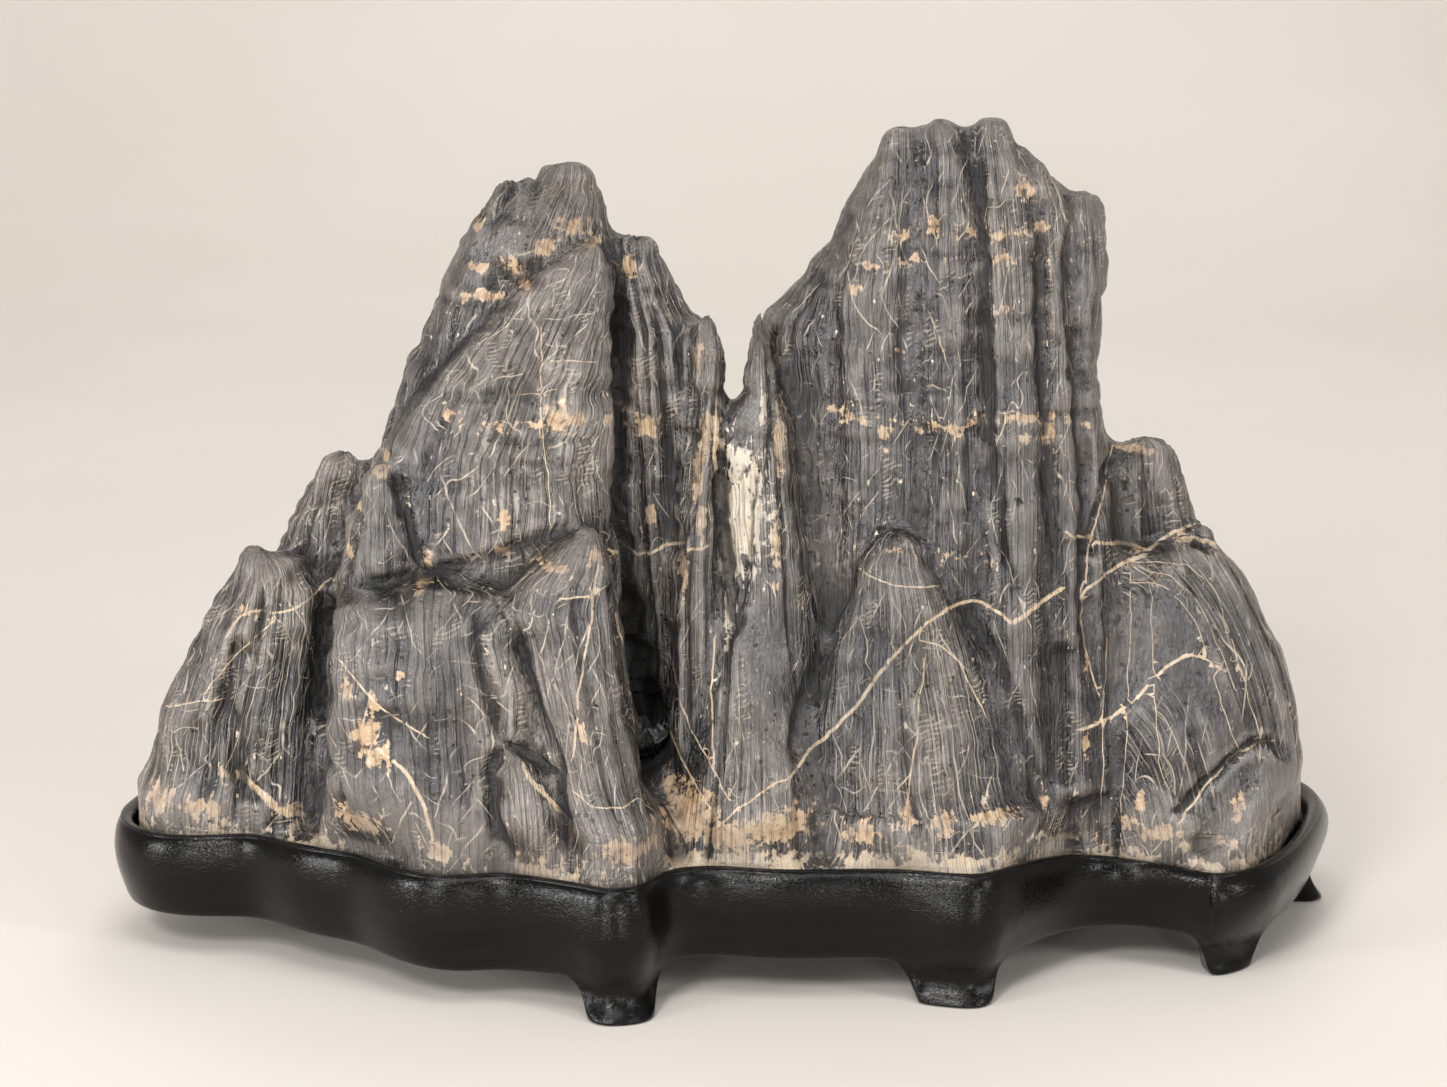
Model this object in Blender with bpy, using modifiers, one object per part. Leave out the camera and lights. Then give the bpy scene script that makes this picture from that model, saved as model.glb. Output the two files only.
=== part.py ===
"""A scholar's rock: twin peaks of dark limestone, standing in a carved and lacquered wooden stand.

The tables are in millimetres, and everything that is built is in metres. Z is up, the front of
the object faces -Y, and the origin lies on the ground under the middle of the stand's outline.
"""

import math

import bmesh
import bpy
import numpy as np

MM = 0.001

# The stand: a shallow tray on eight short feet, carved to the outline of the stone's foot.
RIM_HEIGHT = 46.0  # top of the rim, left of the middle
RIM_DROP_LEFT = 2.5  # how much lower the rim is at the left end
RIM_DROP_RIGHT = 8.0  # and at the right end
RIM_LEFT_SLOPE = (-192.0, -130.0)  # where along X the rim rises from the left end's height
RIM_RIGHT_SLOPE = (85.0, 142.0)  # and where it sinks to the right end's
RIM_ROUND = 3.6  # height of the rounded shoulder at the rim's outer edge
RIM_WIDTH = 7.5
SEAT_HEIGHT = 32.0  # floor of the hollow that takes the stone
EDGE_HEIGHT = 15.0  # lower edge of the wall between the feet
UNDERSIDE_HEIGHT = 18.0
WALL_TAPER = 4.5  # how far the wall draws in from the rim to its lower edge
FOOT_DEPTH = 17.0
TOE_FLARE = 1.2
TOE_HEIGHT = 7.0  # where the foot is slimmest
EDGE_SAG = 2.0  # how much lower the wall runs where it nears a foot
APRON_MIDDLE = -76.0  # the place along X where the front wall hangs a little lower
APRON_REACH = 34.0
APRON_SAG = 1.3  # its share of the sag
STATIONS = 92  # sections round the stand, besides those at the feet
OUTLINE_STEPS = 12  # steps of the smooth outline between two of its points
EVENING = 30  # neighbours over which the wall's direction is evened out
FOOT_SPREAD = 1.75  # how far a foot's shoulders reach, in half widths
FOOT_FLAT = 0.95  # how much of the foot stands flat, in half widths
FOOT_CLEARANCE = 0.15  # no other section comes as near to a foot's shoulders, in half widths
SHOULDER_CURVE = 1.8  # how fast a foot's shoulder falls away
SIDE_STATIONS = (-1.75, -1.4, -1.15, -0.95, -0.4, 0.4, 0.95, 1.15, 1.4, 1.75)  # in half widths

# The outer edge of the rim, from the left end along the front and back again.
STAND_OUTLINE = [
    (-207, 4), (-203, -12), (-192, -24), (-176, -28), (-159, -28), (-150, -35), (-139, -45),
    (-123, -52), (-112, -64), (-98, -74), (-84, -75), (-73, -72), (-60, -77), (-46, -84),
    (-36, -89), (-26, -86), (-18, -72), (-9, -66), (2, -66), (14, -70), (30, -70), (50, -69),
    (68, -72), (82, -75), (93, -66), (103, -54), (113, -43), (124, -37), (135, -37), (148, -43),
    (159, -50), (169, -48), (180, -39), (191, -22), (200, 0), (207, 24), (208, 44), (202, 60),
    (190, 70), (173, 74), (157, 72), (144, 77), (128, 86), (107, 92), (84, 91), (66, 84), (52, 78),
    (38, 78), (20, 84), (-4, 89), (-30, 89), (-52, 84), (-68, 76), (-82, 74), (-98, 78), (-118, 80),
    (-137, 75), (-150, 65), (-161, 56), (-174, 51), (-189, 43), (-201, 29),
]

# The feet: a point of the outline, half of the foot's width, and how far its toe stands back.
FEET = [
    ((-32, -88), 13, 1), ((77, -74), 13, 3), ((172, -47), 12, 8), ((206, 44), 10, -1),
    ((100, 92), 13, 2), ((-20, 90), 13, 2), ((-118, 80), 13, 2), ((-186, 45), 11, 2),
]

# The stone: one piece, grown together from leaning buttresses and spires.
SEAT_GAP = 0.3  # left between the stone and the stand all over
SKIRT_INSET = 1.5  # the stone's foot inside the wall of the hollow
SKIRT_HEIGHT = 43.0
SKIRT_FLOOR = SEAT_HEIGHT - 4.0  # below the seat, where it is cut off later
DRAW_IN_START = 2.0  # above the rim the stone is drawn in fully up to here
DRAW_IN_HEIGHT = 26.0  # and less and less over this height
FORM_SIDES = 28
RINGS_PER_LEVEL = 4
GRAIN_SIZE = 2.4  # cell of the skin that joins the forms
EASE_ROUNDS = 2
GROWN_TOGETHER = 3.2  # how far the skin swells and shrinks again, which closes sharp gaps
SLIT_MIDDLE = 2.0  # along X, the slit between the two thin spires, which stays open
SLIT_REACH = (7.0, 12.0)  # half of the slit's width, and where the skin swells fully again
SLIT_FOOT = (165.0, 185.0)  # the heights between which the slit begins
SLIT_SHARE = 0.85  # how much less the skin swells there
STONE_TRIANGLES = 6500
FLUTE_SPACING = 19.0  # between the upright grooves
FLUTE_WIDTH = 3.8
FLUTE_DEPTH = 2.0
FLUTE_WANDER = 0.35  # how unevenly the grooves are spaced, in spacings
FLUTE_WAVE = 31.0  # height over which a groove sways from side to side
SHALLOW_FLUTE = 0.2  # depth of the faintest groove, as a share
BORDER_WIDTH = 4.5  # near another form the grooves fade over this distance

# Each form of the stone: how square its sections are, and its levels from the foot to the tip.
# A level gives its height, its left and right edges, and its front and back edges.
STONE_FORMS = {
    "left tower": (2.5, [
        (30, -146, -20, -39, 69), (78, -144, -23, -34, 63), (123, -133, -26, -27, 55),
        (155, -120, -29, -21, 49), (178, -112, -31, -15, 45), (203, -102, -33, -11, 40),
        (222, -94, -35, -7, 36), (238, -87, -37, -3, 33), (248, -75, -40, 1, 30),
        (255, -66, -42, 5, 27), (259, -62, -44, 9, 24), (262, -59, -46, 13, 19),
    ]),
    "left step": (2.4, [
        (140, -96, -56, -5, 35), (222, -94, -55, -3, 31), (238, -87, -57, -1, 29),
        (247, -81, -59, 3, 27), (253, -78, -61, 6, 24), (256, -74, -65, 11, 19),
    ]),
    "left slab": (3.0, [
        (30, -115, -29, -59, 11), (88, -114, -31, -49, 11), (130, -113, -34, -36, 9),
        (172, -108, -36, -26, 7), (194, -94, -37, -20, 5), (213, -75, -37, -15, 5),
        (226, -61, -38, -11, 3), (236, -51, -39, -7, 1), (239, -47, -41, -5, -1),
    ]),
    "left shoulder": (2.4, [
        (30, -30, 3, -29, 53), (114, -33, 0, -15, 43), (148, -34, -3, -11, 39),
        (183, -35, -5, -9, 34), (209, -35, -9, -6, 29), (218, -35, -15, -4, 27),
        (229, -35, -21, -1, 23), (236, -34, -24, 3, 19), (239, -33, -26, 7, 15),
    ]),
    "left blade": (2.2, [
        (30, -24, 13, -51, 21), (86, -22, 3, -39, 16), (133, -19, -1, -29, 11),
        (170, -15, -1, -23, 7), (190, -12, -1, -19, 5), (204, -10, -1, -16, 3),
        (212, -10, -3, -13, -1), (217, -8, -6, -9, -5),
    ]),
    "left spur": (2.2, [
        (30, -132, -94, -51, 1), (110, -129, -95, -45, -1), (132, -126, -98, -40, -4),
        (143, -124, -100, -37, -6), (152, -122, -102, -35, -8), (163, -117, -107, -29, -14),
        (168, -115, -110, -24, -18),
    ]),
    "left block": (3.0, [
        (30, -133, -48, -70, 1), (60, -133, -49, -69, 1), (77, -132, -53, -66, -1),
        (109, -130, -58, -60, -4), (123, -127, -63, -55, -7), (127, -124, -66, -50, -11),
        (131, -117, -72, -42, -17),
    ]),
    "block lobe": (2.2, [
        (30, -78, -52, -77, -29), (60, -77, -52, -76, -29), (68, -76, -54, -73, -31),
        (78, -75, -57, -69, -35), (83, -72, -63, -63, -43),
    ]),
    "front pinnacle": (2.3, [
        (30, -55, -18, -81, -9), (60, -55, -20, -79, -9), (72, -59, -26, -72, -9),
        (88, -63, -29, -67, -13), (104, -67, -32, -62, -17), (127, -72, -35, -55, -19),
        (136, -67, -36, -53, -23), (143, -58, -38, -50, -27), (149, -50, -40, -46, -33),
        (153, -46, -42, -43, -37),
    ]),
    "left hill": (2.4, [
        (30, -200, -130, -25, 38), (52, -199, -129, -23, 37), (60, -195, -130, -21, 34),
        (80, -190, -131, -18, 30), (99, -180, -132, -15, 25), (117, -172, -134, -12, 19),
        (126, -165, -139, -9, 13), (132, -161, -145, -7, 6), (135, -156, -151, -4, 1),
    ]),
    "left back ridge": (2.4, [
        (30, -168, -106, -9, 63), (94, -158, -108, -4, 51), (129, -151, -113, 3, 41),
        (142, -146, -118, 7, 35), (151, -141, -121, 10, 29), (158, -136, -122, 12, 25),
        (164, -131, -125, 14, 20),
    ]),
    "right spire": (2.2, [
        (30, -9, 39, -59, 21), (87, -4, 34, -43, 16), (120, -3, 29, -33, 11), (154, -1, 24, -25, 7),
        (181, 1, 20, -19, 3), (190, 5, 17, -17, 1), (206, 7, 14, -14, -1), (212, 8, 13, -11, -3),
        (218, 10, 12, -8, -5),
    ]),
    "black fin": (2.0, [
        (165, -3, 5, -23, -5), (175, -1, 7, -20, -5), (183, 1, 9, -18, -6), (188, 4, 9, -16, -7),
        (190, 6, 9, -14, -9),
    ]),
    "right tower": (2.8, [
        (30, 6, 145, -41, 73), (77, 9, 137, -33, 69), (130, 11, 132, -23, 61),
        (166, 13, 129, -15, 55), (191, 14, 123, -11, 51), (211, 14, 121, -7, 47),
        (221, 24, 119, -5, 45), (236, 34, 116, -3, 41), (249, 40, 111, -1, 37),
        (257, 45, 105, 1, 33), (264, 48, 98, 4, 27), (269, 52, 93, 8, 21),
    ]),
    "column one": (2.4, [
        (60, 25, 75, -39, 31), (169, 32, 76, -20, 31), (216, 31, 74, -12, 31),
        (237, 37, 70, -7, 29), (258, 46, 67, -2, 25), (267, 49, 64, 2, 21), (272, 51, 62, 4, 19),
        (274, 53, 60, 8, 15),
    ]),
    "column two": (2.4, [
        (60, 56, 92, -42, 31), (169, 59, 89, -24, 31), (217, 58, 87, -16, 29),
        (250, 59, 84, -8, 27), (266, 62, 81, -2, 24), (273, 64, 77, 3, 20), (277, 66, 73, 7, 15),
    ]),
    "column three": (2.4, [
        (60, 77, 112, -45, 33), (169, 79, 108, -26, 33), (217, 79, 106, -18, 31),
        (250, 78, 103, -9, 29), (266, 78, 98, -3, 25), (272, 80, 94, 2, 20), (277, 83, 90, 7, 15),
    ]),
    "column four": (2.4, [
        (60, 95, 125, -40, 33), (169, 96, 120, -20, 29), (217, 96, 117, -13, 27),
        (250, 95, 112, -5, 25), (258, 96, 108, -1, 23), (263, 99, 104, 5, 17),
    ]),
    "column five": (2.4, [
        (60, 108, 136, -31, 39), (168, 107, 127, -14, 33), (193, 108, 123, -10, 31),
        (217, 108, 124, -7, 29), (222, 109, 126, -6, 29), (236, 110, 125, -4, 27),
        (247, 110, 124, 0, 24), (252, 112, 122, 5, 19),
    ]),
    "right shoulder": (2.8, [
        (30, 121, 186, -19, 55), (77, 122, 173, -9, 49), (126, 123, 162, -3, 43),
        (143, 124, 158, 1, 37), (155, 126, 154, 5, 33), (163, 129, 150, 9, 29),
        (167, 134, 145, 14, 24),
    ]),
    "knob": (2.0, [
        (132, 157, 160, 3, 9), (135, 155, 163, 0, 13), (139, 155, 164, -1, 14),
        (143, 157, 161, 3, 10),
    ]),
    "right dome": (2.9, [
        (30, 120, 202, -34, 49), (31, 121, 200, -33, 47), (57, 120, 197, -32, 41),
        (76, 119, 192, -30, 35), (100, 118, 186, -26, 29), (115, 119, 178, -22, 24),
        (127, 122, 171, -17, 17), (133, 127, 166, -13, 11), (136, 136, 160, -8, 4),
    ]),
    "right foot dome": (2.2, [
        (30, 149, 195, -39, 11), (41, 150, 194, -38, 11), (54, 157, 192, -35, 7),
        (67, 166, 188, -29, 1), (72, 172, 182, -23, -5),
    ]),
    "right dome belly": (2.2, [
        (30, 120, 189, -36, 11), (52, 121, 185, -36, 9), (80, 122, 175, -33, 5),
        (101, 127, 165, -27, -1), (121, 133, 156, -21, -7),
    ]),
    "front dome": (2.2, [
        (30, 18, 112, -62, 11), (60, 19, 110, -60, 11), (57, 21, 106, -57, 9),
        (72, 23, 101, -54, 6), (89, 26, 95, -50, 3), (106, 31, 86, -45, -1), (125, 38, 77, -40, -7),
        (137, 42, 69, -36, -13), (142, 46, 66, -33, -17), (146, 50, 60, -30, -21),
    ]),
    "middle foot": (2.3, [
        (30, -31, 47, -61, 51), (58, -26, 42, -58, 49), (75, -20, 37, -51, 46),
        (98, -14, 30, -42, 41), (118, -9, 21, -33, 33), (132, -6, 13, -25, 25),
    ]),
    "rough lip": (2.2, [
        (30, 82, 118, -57, -9), (46, 84, 116, -56, -9), (55, 87, 113, -51, -11),
        (59, 91, 108, -45, -17),
    ]),
    "back left buttress": (2.4, [
        (30, -128, -41, 1, 81), (100, -112, -43, 1, 73), (160, -97, -46, 6, 63),
        (195, -83, -51, 9, 53), (212, -72, -58, 17, 43),
    ]),
    "back left rib": (2.3, [
        (30, -150, -107, 21, 79), (80, -137, -103, 21, 67), (130, -122, -98, 21, 57),
        (165, -112, -97, 25, 47),
    ]),
    "back middle ridge": (2.3, [
        (30, -44, 47, 1, 77), (80, -33, 36, 1, 65), (120, -23, 25, 3, 53), (145, -12, 13, 13, 39),
    ]),
    "back right buttress": (2.5, [
        (30, 43, 117, 11, 85), (90, 50, 112, 11, 79), (160, 59, 107, 13, 69), (215, 67, 99, 15, 55),
        (232, 75, 92, 25, 45),
    ]),
    "back right rib": (2.3, [
        (30, 19, 61, 21, 81), (80, 22, 53, 21, 71), (140, 27, 52, 21, 59), (185, 33, 49, 25, 49),
    ]),
    "back right spur": (2.4, [
        (30, 113, 176, 11, 77), (80, 115, 167, 11, 69), (130, 121, 155, 13, 57),
        (152, 128, 146, 21, 45),
    ]),
    "back left spur": (2.4, [
        (30, -179, -113, 1, 65), (80, -167, -115, 3, 57), (122, -150, -118, 7, 45),
        (138, -140, -125, 15, 35),
    ]),
}

STONE_COLOUR = (0.075, 0.070, 0.066, 1.0)
STONE_ROUGHNESS = 0.55
LACQUER_COLOUR = (0.010, 0.007, 0.006, 1.0)
LACQUER_ROUGHNESS = 0.24


def clear_scene():
    """Remove whatever the file starts with."""
    for thing in list(bpy.data.objects):
        bpy.data.objects.remove(thing, do_unlink=True)


def smooth_step(value):
    """Ease from 0 to 1 as the value goes from 0 to 1."""
    value = np.clip(value, 0.0, 1.0)
    return value * value * (3.0 - 2.0 * value)


def closed_curve(points, fineness):
    """A smooth closed curve through the points, with that many steps between two points."""
    corner = np.array(points, dtype=float)
    before = np.roll(corner, 1, axis=0)
    after = np.roll(corner, -1, axis=0)
    beyond = np.roll(corner, -2, axis=0)
    steps = np.linspace(0.0, 1.0, fineness, endpoint=False)[None, :, None]
    bend = (
        2.0 * corner[:, None]
        + (after - before)[:, None] * steps
        + (2.0 * before - 5.0 * corner + 4.0 * after - beyond)[:, None] * steps**2
        + (3.0 * corner - before - 3.0 * after + beyond)[:, None] * steps**3
    )
    return (0.5 * bend).reshape(-1, 2)


def point_along(curve, distance):
    """The points of a closed curve at those distances along it."""
    closed = np.vstack([curve, curve[:1]])
    length = np.concatenate([[0.0], np.cumsum(np.linalg.norm(np.diff(closed, axis=0), axis=1))])
    place = np.mod(distance, length[-1])
    return np.stack([np.interp(place, length, closed[:, axis]) for axis in (0, 1)], axis=1)


def outward(curve, reach=7):
    """Directions out of a closed curve, evened out over some neighbours to each side."""
    along = np.roll(curve, -1, axis=0) - np.roll(curve, 1, axis=0)
    side = np.stack([along[:, 1], -along[:, 0]], axis=1)
    side /= np.linalg.norm(side, axis=1)[:, None]
    evened = sum(np.roll(side, shift, axis=0) for shift in range(-reach, reach + 1))
    return evened / np.linalg.norm(evened, axis=1)[:, None]


def rim_height(x):
    """Height of the rim, which sinks a little towards both ends."""
    left_start, left_end = RIM_LEFT_SLOPE
    right_start, right_end = RIM_RIGHT_SLOPE
    left = RIM_DROP_LEFT * (1.0 - smooth_step((x - left_start) / (left_end - left_start)))
    right = RIM_DROP_RIGHT * smooth_step((x - right_start) / (right_end - right_start))
    return RIM_HEIGHT - left - right


def stand_sections():
    """Where the stand's sections lie, their directions outward, and what each has of a foot.

    A foot gives its share of the full drop, its set-back and the side of the foot."""
    outline = closed_curve(STAND_OUTLINE, OUTLINE_STEPS)
    outline -= (outline.max(axis=0) + outline.min(axis=0)) / 2.0
    closed = np.vstack([outline, outline[:1]])
    length = np.concatenate([[0.0], np.cumsum(np.linalg.norm(np.diff(closed, axis=0), axis=1))])
    places = np.linspace(0.0, length[-1], STATIONS, endpoint=False)
    feet = []
    for spot, half_width, set_back in FEET:
        nearest = np.argmin(np.linalg.norm(outline - np.array(spot), axis=1))
        middle = length[nearest]
        places = places[abs(places - middle) > (FOOT_SPREAD + FOOT_CLEARANCE) * half_width]
        places = np.append(places, middle + np.array(SIDE_STATIONS) * half_width)
        feet.append((middle, half_width, set_back))
    places.sort()
    points = point_along(outline, places)
    nearest = [np.argmin(np.linalg.norm(outline - point, axis=1)) for point in points]
    drop = np.zeros(len(places))
    back = np.zeros(len(places))
    side = np.zeros(len(places))
    for middle, half_width, set_back in feet:
        away = (places - middle) / half_width
        share = np.clip((FOOT_SPREAD - abs(away)) / (FOOT_SPREAD - FOOT_FLAT), 0.0, 1.0)
        share = share**SHOULDER_CURVE
        drop = np.maximum(drop, share)
        back += share * set_back
        side += share * np.clip(away / FOOT_FLAT, -1.0, 1.0)
    return points, outward(outline, EVENING)[nearest], drop, back, side


def stand_profile(x, drop, back, side):
    """One section of the stand, from the seat over the rim to the underside.

    Each point has its offset from the rim's outer edge, its height and its shift sideways."""
    rim = rim_height(x)
    apron = APRON_SAG * math.exp(-(((x - APRON_MIDDLE) / APRON_REACH) ** 2))
    edge = EDGE_HEIGHT - EDGE_SAG * max(drop**0.4, apron)

    def toward_foot(plain, at_foot):
        return plain + (at_foot - plain) * drop

    return [
        (-RIM_WIDTH - 1.0, SEAT_HEIGHT, 0.0),
        (-RIM_WIDTH, rim - 2.4, 0.0),
        (-RIM_WIDTH + 1.6, rim - 0.5, 0.0),
        (-RIM_WIDTH / 2.0, rim, 0.0),
        (-1.4, rim - 0.7, 0.0),
        (0.0, rim - RIM_ROUND, 0.0),
        (-0.8, (rim + EDGE_HEIGHT) / 2.0 + 2.0, 0.0),
        (-WALL_TAPER + 1.2, toward_foot(edge + 4.0, edge + 1.0), 0.0),
        (
            toward_foot(-WALL_TAPER, -5.4) - back * 0.8,
            toward_foot(edge + 0.6, TOE_HEIGHT),
            -TOE_FLARE * side,
        ),
        (toward_foot(-WALL_TAPER - 1.0, -1.8) - back, toward_foot(edge - 0.4, 2.2), TOE_FLARE * side),
        (toward_foot(-WALL_TAPER - 3.0, -2.6) - back, toward_foot(edge - 0.4, 0.0), TOE_FLARE * side),
        (-FOOT_DEPTH - back, toward_foot(edge + 1.6, 0.0), TOE_FLARE * side),
        (-FOOT_DEPTH - 2.5 - back, toward_foot(UNDERSIDE_HEIGHT - 0.8, 5.0), 0.0),
        (-FOOT_DEPTH - 5.0 - back, UNDERSIDE_HEIGHT, 0.0),
    ]


def make_stand():
    """Loft the stand through its sections, and close the seat and the underside."""
    mesh = bmesh.new()
    columns = []
    for point, direction, drop, back, side in zip(*stand_sections()):
        along = np.array([-direction[1], direction[0]])
        column = []
        for offset, height, shift in stand_profile(point[0], drop, back, side):
            x, y = (point + direction * offset + along * shift) * MM
            column.append(mesh.verts.new((x, y, height * MM)))
        columns.append(column)
    for column, following in zip(columns, columns[1:] + columns[:1]):
        for row in range(len(column) - 1):
            mesh.faces.new((column[row], column[row + 1], following[row + 1], following[row]))
    mesh.faces.new([column[0] for column in columns])
    mesh.faces.new([column[-1] for column in reversed(columns)])
    bmesh.ops.recalc_face_normals(mesh, faces=mesh.faces)
    bmesh.ops.triangulate(mesh, faces=mesh.faces)
    return finished_object("stand", mesh)


def seat_curve(inset):
    """The outline of the hollow's wall, drawn in by the inset."""
    points, directions = stand_sections()[:2]
    return points - directions * (RIM_WIDTH + 1.0 + inset)


def add_form(mesh, squareness, levels):
    """Add one form: a ball whose rings are drawn out to the form's levels."""
    rows = np.array(levels, dtype=float)
    rings = RINGS_PER_LEVEL * (len(rows) - 1) + 2
    ball = bmesh.ops.create_uvsphere(mesh, u_segments=FORM_SIDES, v_segments=rings, radius=1.0)
    for corner in ball["verts"]:
        rise = 1.0 - math.acos(max(-1.0, min(1.0, corner.co.z))) / math.pi
        place = np.clip((rise * rings - 1.0) / RINGS_PER_LEVEL, 0.0, len(rows) - 1.0)
        height, left, right, front, back = (
            np.interp(place, range(len(rows)), rows[:, column]) for column in range(5)
        )
        reach = math.hypot(corner.co.x, corner.co.y)
        across = corner.co.x / reach if reach > 0.001 else 0.0
        deep = corner.co.y / reach if reach > 0.001 else 0.0
        across = math.copysign(abs(across) ** (2.0 / squareness), across)
        deep = math.copysign(abs(deep) ** (2.0 / squareness), deep)
        corner.co.x = ((left + right) / 2.0 + across * (right - left) / 2.0) * MM
        corner.co.y = ((front + back) / 2.0 + deep * (back - front) / 2.0) * MM
        corner.co.z = height * MM


def add_skirt(mesh):
    """Add the low foot that fills the stand's hollow."""
    outline = seat_curve(SKIRT_INSET)
    floor = [mesh.verts.new((x * MM, y * MM, SKIRT_FLOOR * MM)) for x, y in outline]
    top = []
    for x, y in outline:
        top.append(mesh.verts.new((x * MM, y * MM, (SKIRT_HEIGHT + rim_height(x) - RIM_HEIGHT) * MM)))
    for index in range(len(floor)):
        following = (index + 1) % len(floor)
        mesh.faces.new((floor[index], floor[following], top[following], top[index]))
    mesh.faces.new(top)
    mesh.faces.new(list(reversed(floor)))


def evaluated_mesh(thing):
    """The object's mesh with its modifiers applied, as a new mesh."""
    bpy.context.view_layer.update()
    graph = bpy.context.evaluated_depsgraph_get()
    return bpy.data.meshes.new_from_object(thing.evaluated_get(graph), depsgraph=graph)


def keep_off_the_wall(spots):
    """Draw the stone's foot in where it would touch the wall of the hollow."""
    wall = closed_curve(seat_curve(2.0 * SEAT_GAP), 4)
    inward = -outward(wall, 3)
    rim = rim_height(spots[:, 0])
    hold = 1.0 - smooth_step((spots[:, 2] - rim - DRAW_IN_START) / DRAW_IN_HEIGHT)
    for index in np.nonzero(hold > 0.0)[0]:
        away = spots[index, :2] - wall
        nearest = np.argmin((away**2).sum(axis=1))
        outside = -(away[nearest] * inward[nearest]).sum()
        if outside > 0.0:
            spots[index, :2] += inward[nearest] * outside * hold[index]
    return spots


def nearest_form(spots):
    """For each spot: its form, the bearing on it, the form's girth, and how clearly it lies on it."""
    closest = np.full(len(spots), np.inf)
    next_closest = np.full(len(spots), np.inf)
    which = np.zeros(len(spots), dtype=int)
    bearing = np.zeros(len(spots))
    girth = np.ones(len(spots))
    for index, (squareness, levels) in enumerate(STONE_FORMS.values()):
        rows = np.array(levels, dtype=float)
        height = np.clip(spots[:, 2], rows[0, 0], rows[-1, 0])
        left, right, front, back = (np.interp(height, rows[:, 0], rows[:, column]) for column in range(1, 5))
        across = (spots[:, 0] - (left + right) / 2.0) / ((right - left) / 2.0)
        deep = (spots[:, 1] - (front + back) / 2.0) / ((back - front) / 2.0)
        reach = (abs(across) ** squareness + abs(deep) ** squareness) ** (1.0 / squareness)
        away = (reach - 1.0) * np.minimum(right - left, back - front) / 2.0
        away += abs(spots[:, 2] - height)
        next_closest = np.minimum(next_closest, np.maximum(away, closest))
        nearer = away < closest
        closest[nearer] = away[nearer]
        which[nearer] = index
        bearing[nearer] = np.arctan2(across, -deep)[nearer]
        girth[nearer] = (rows[0, 2] - rows[0, 1] + rows[0, 4] - rows[0, 3]) / 4.0
    return which, bearing, girth, smooth_step((next_closest - closest - 0.5) / BORDER_WIDTH)


def flutes(spots):
    """How deep the upright grooves that run from foot to tip cut in at each spot."""
    which, bearing, girth, inside = nearest_form(spots)
    count = bearing * girth / FLUTE_SPACING
    count += FLUTE_WANDER * np.sin(count * 2.7 + which * 2.1)
    count += 0.2 * np.sin(spots[:, 2] / FLUTE_WAVE + which)
    off_centre = abs(count - np.round(count)) * FLUTE_SPACING
    groove = np.exp(-((off_centre / FLUTE_WIDTH) ** 2))
    uneven = np.sin(np.round(count) * 2.4 + which * 1.7)
    uneven = SHALLOW_FLUTE + (1.0 - SHALLOW_FLUTE) * (0.5 + 0.5 * uneven)
    return FLUTE_DEPTH * groove * uneven * inside


def wrap(thing):
    """Wrap the piece in one new skin, and ease it."""
    thing.modifiers.clear()
    skin = thing.modifiers.new("one skin", "REMESH")
    skin.mode = "VOXEL"
    skin.voxel_size = GRAIN_SIZE * MM
    ease = thing.modifiers.new("weathering", "SMOOTH")
    ease.factor = 0.5
    ease.iterations = EASE_ROUNDS
    joined = evaluated_mesh(thing)
    thing.modifiers.clear()
    thing.data = joined


def spots_and_normals(mesh):
    """The mesh's points in millimetres, and the directions in which they face."""
    spots = np.empty(len(mesh.vertices) * 3)
    mesh.vertices.foreach_get("co", spots)
    normals = np.empty(len(mesh.vertices) * 3)
    mesh.vertices.foreach_get("normal", normals)
    return spots.reshape(-1, 3) / MM, normals.reshape(-1, 3)


def swell(mesh, distance):
    """Move the skin out by the distance, or in if it is negative, but little at the slit."""
    spots, normals = spots_and_normals(mesh)
    near, far = SLIT_REACH
    low, high = SLIT_FOOT
    at_slit = 1.0 - smooth_step((abs(spots[:, 0] - SLIT_MIDDLE) - near) / (far - near))
    at_slit *= smooth_step((spots[:, 2] - low) / (high - low))
    spots += normals * (distance * (1.0 - SLIT_SHARE * at_slit))[:, None]
    mesh.vertices.foreach_set("co", (spots * MM).ravel())
    mesh.update()


def make_stone():
    """Grow the forms together in one skin, fit its foot to the hollow and cut it off flat."""
    mesh = bmesh.new()
    for squareness, levels in STONE_FORMS.values():
        add_form(mesh, squareness, levels)
    add_skirt(mesh)
    bmesh.ops.recalc_face_normals(mesh, faces=mesh.faces)
    rough = finished_object("stone forms", mesh)
    wrap(rough)
    swell(rough.data, GROWN_TOGETHER)
    wrap(rough)
    swell(rough.data, -GROWN_TOGETHER)
    wrap(rough)
    spots, normals = spots_and_normals(rough.data)
    spots -= normals * flutes(spots)[:, None]
    spots = keep_off_the_wall(spots) * MM
    rough.data.vertices.foreach_set("co", spots.ravel())
    fewer = rough.modifiers.new("fewer faces", "DECIMATE")
    fewer.ratio = STONE_TRIANGLES / sum(len(face.vertices) - 2 for face in rough.data.polygons)
    mesh = bmesh.new()
    mesh.from_mesh(evaluated_mesh(rough))
    bpy.data.objects.remove(rough, do_unlink=True)
    everything = list(mesh.verts) + list(mesh.edges) + list(mesh.faces)
    seat = (0.0, 0.0, (SEAT_HEIGHT + SEAT_GAP) * MM)
    bmesh.ops.bisect_plane(mesh, geom=everything, plane_co=seat, plane_no=(0, 0, 1), clear_inner=True)
    bmesh.ops.holes_fill(mesh, edges=[edge for edge in mesh.edges if edge.is_boundary])
    bmesh.ops.triangulate(mesh, faces=mesh.faces)
    return finished_object("stone", mesh)


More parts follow.
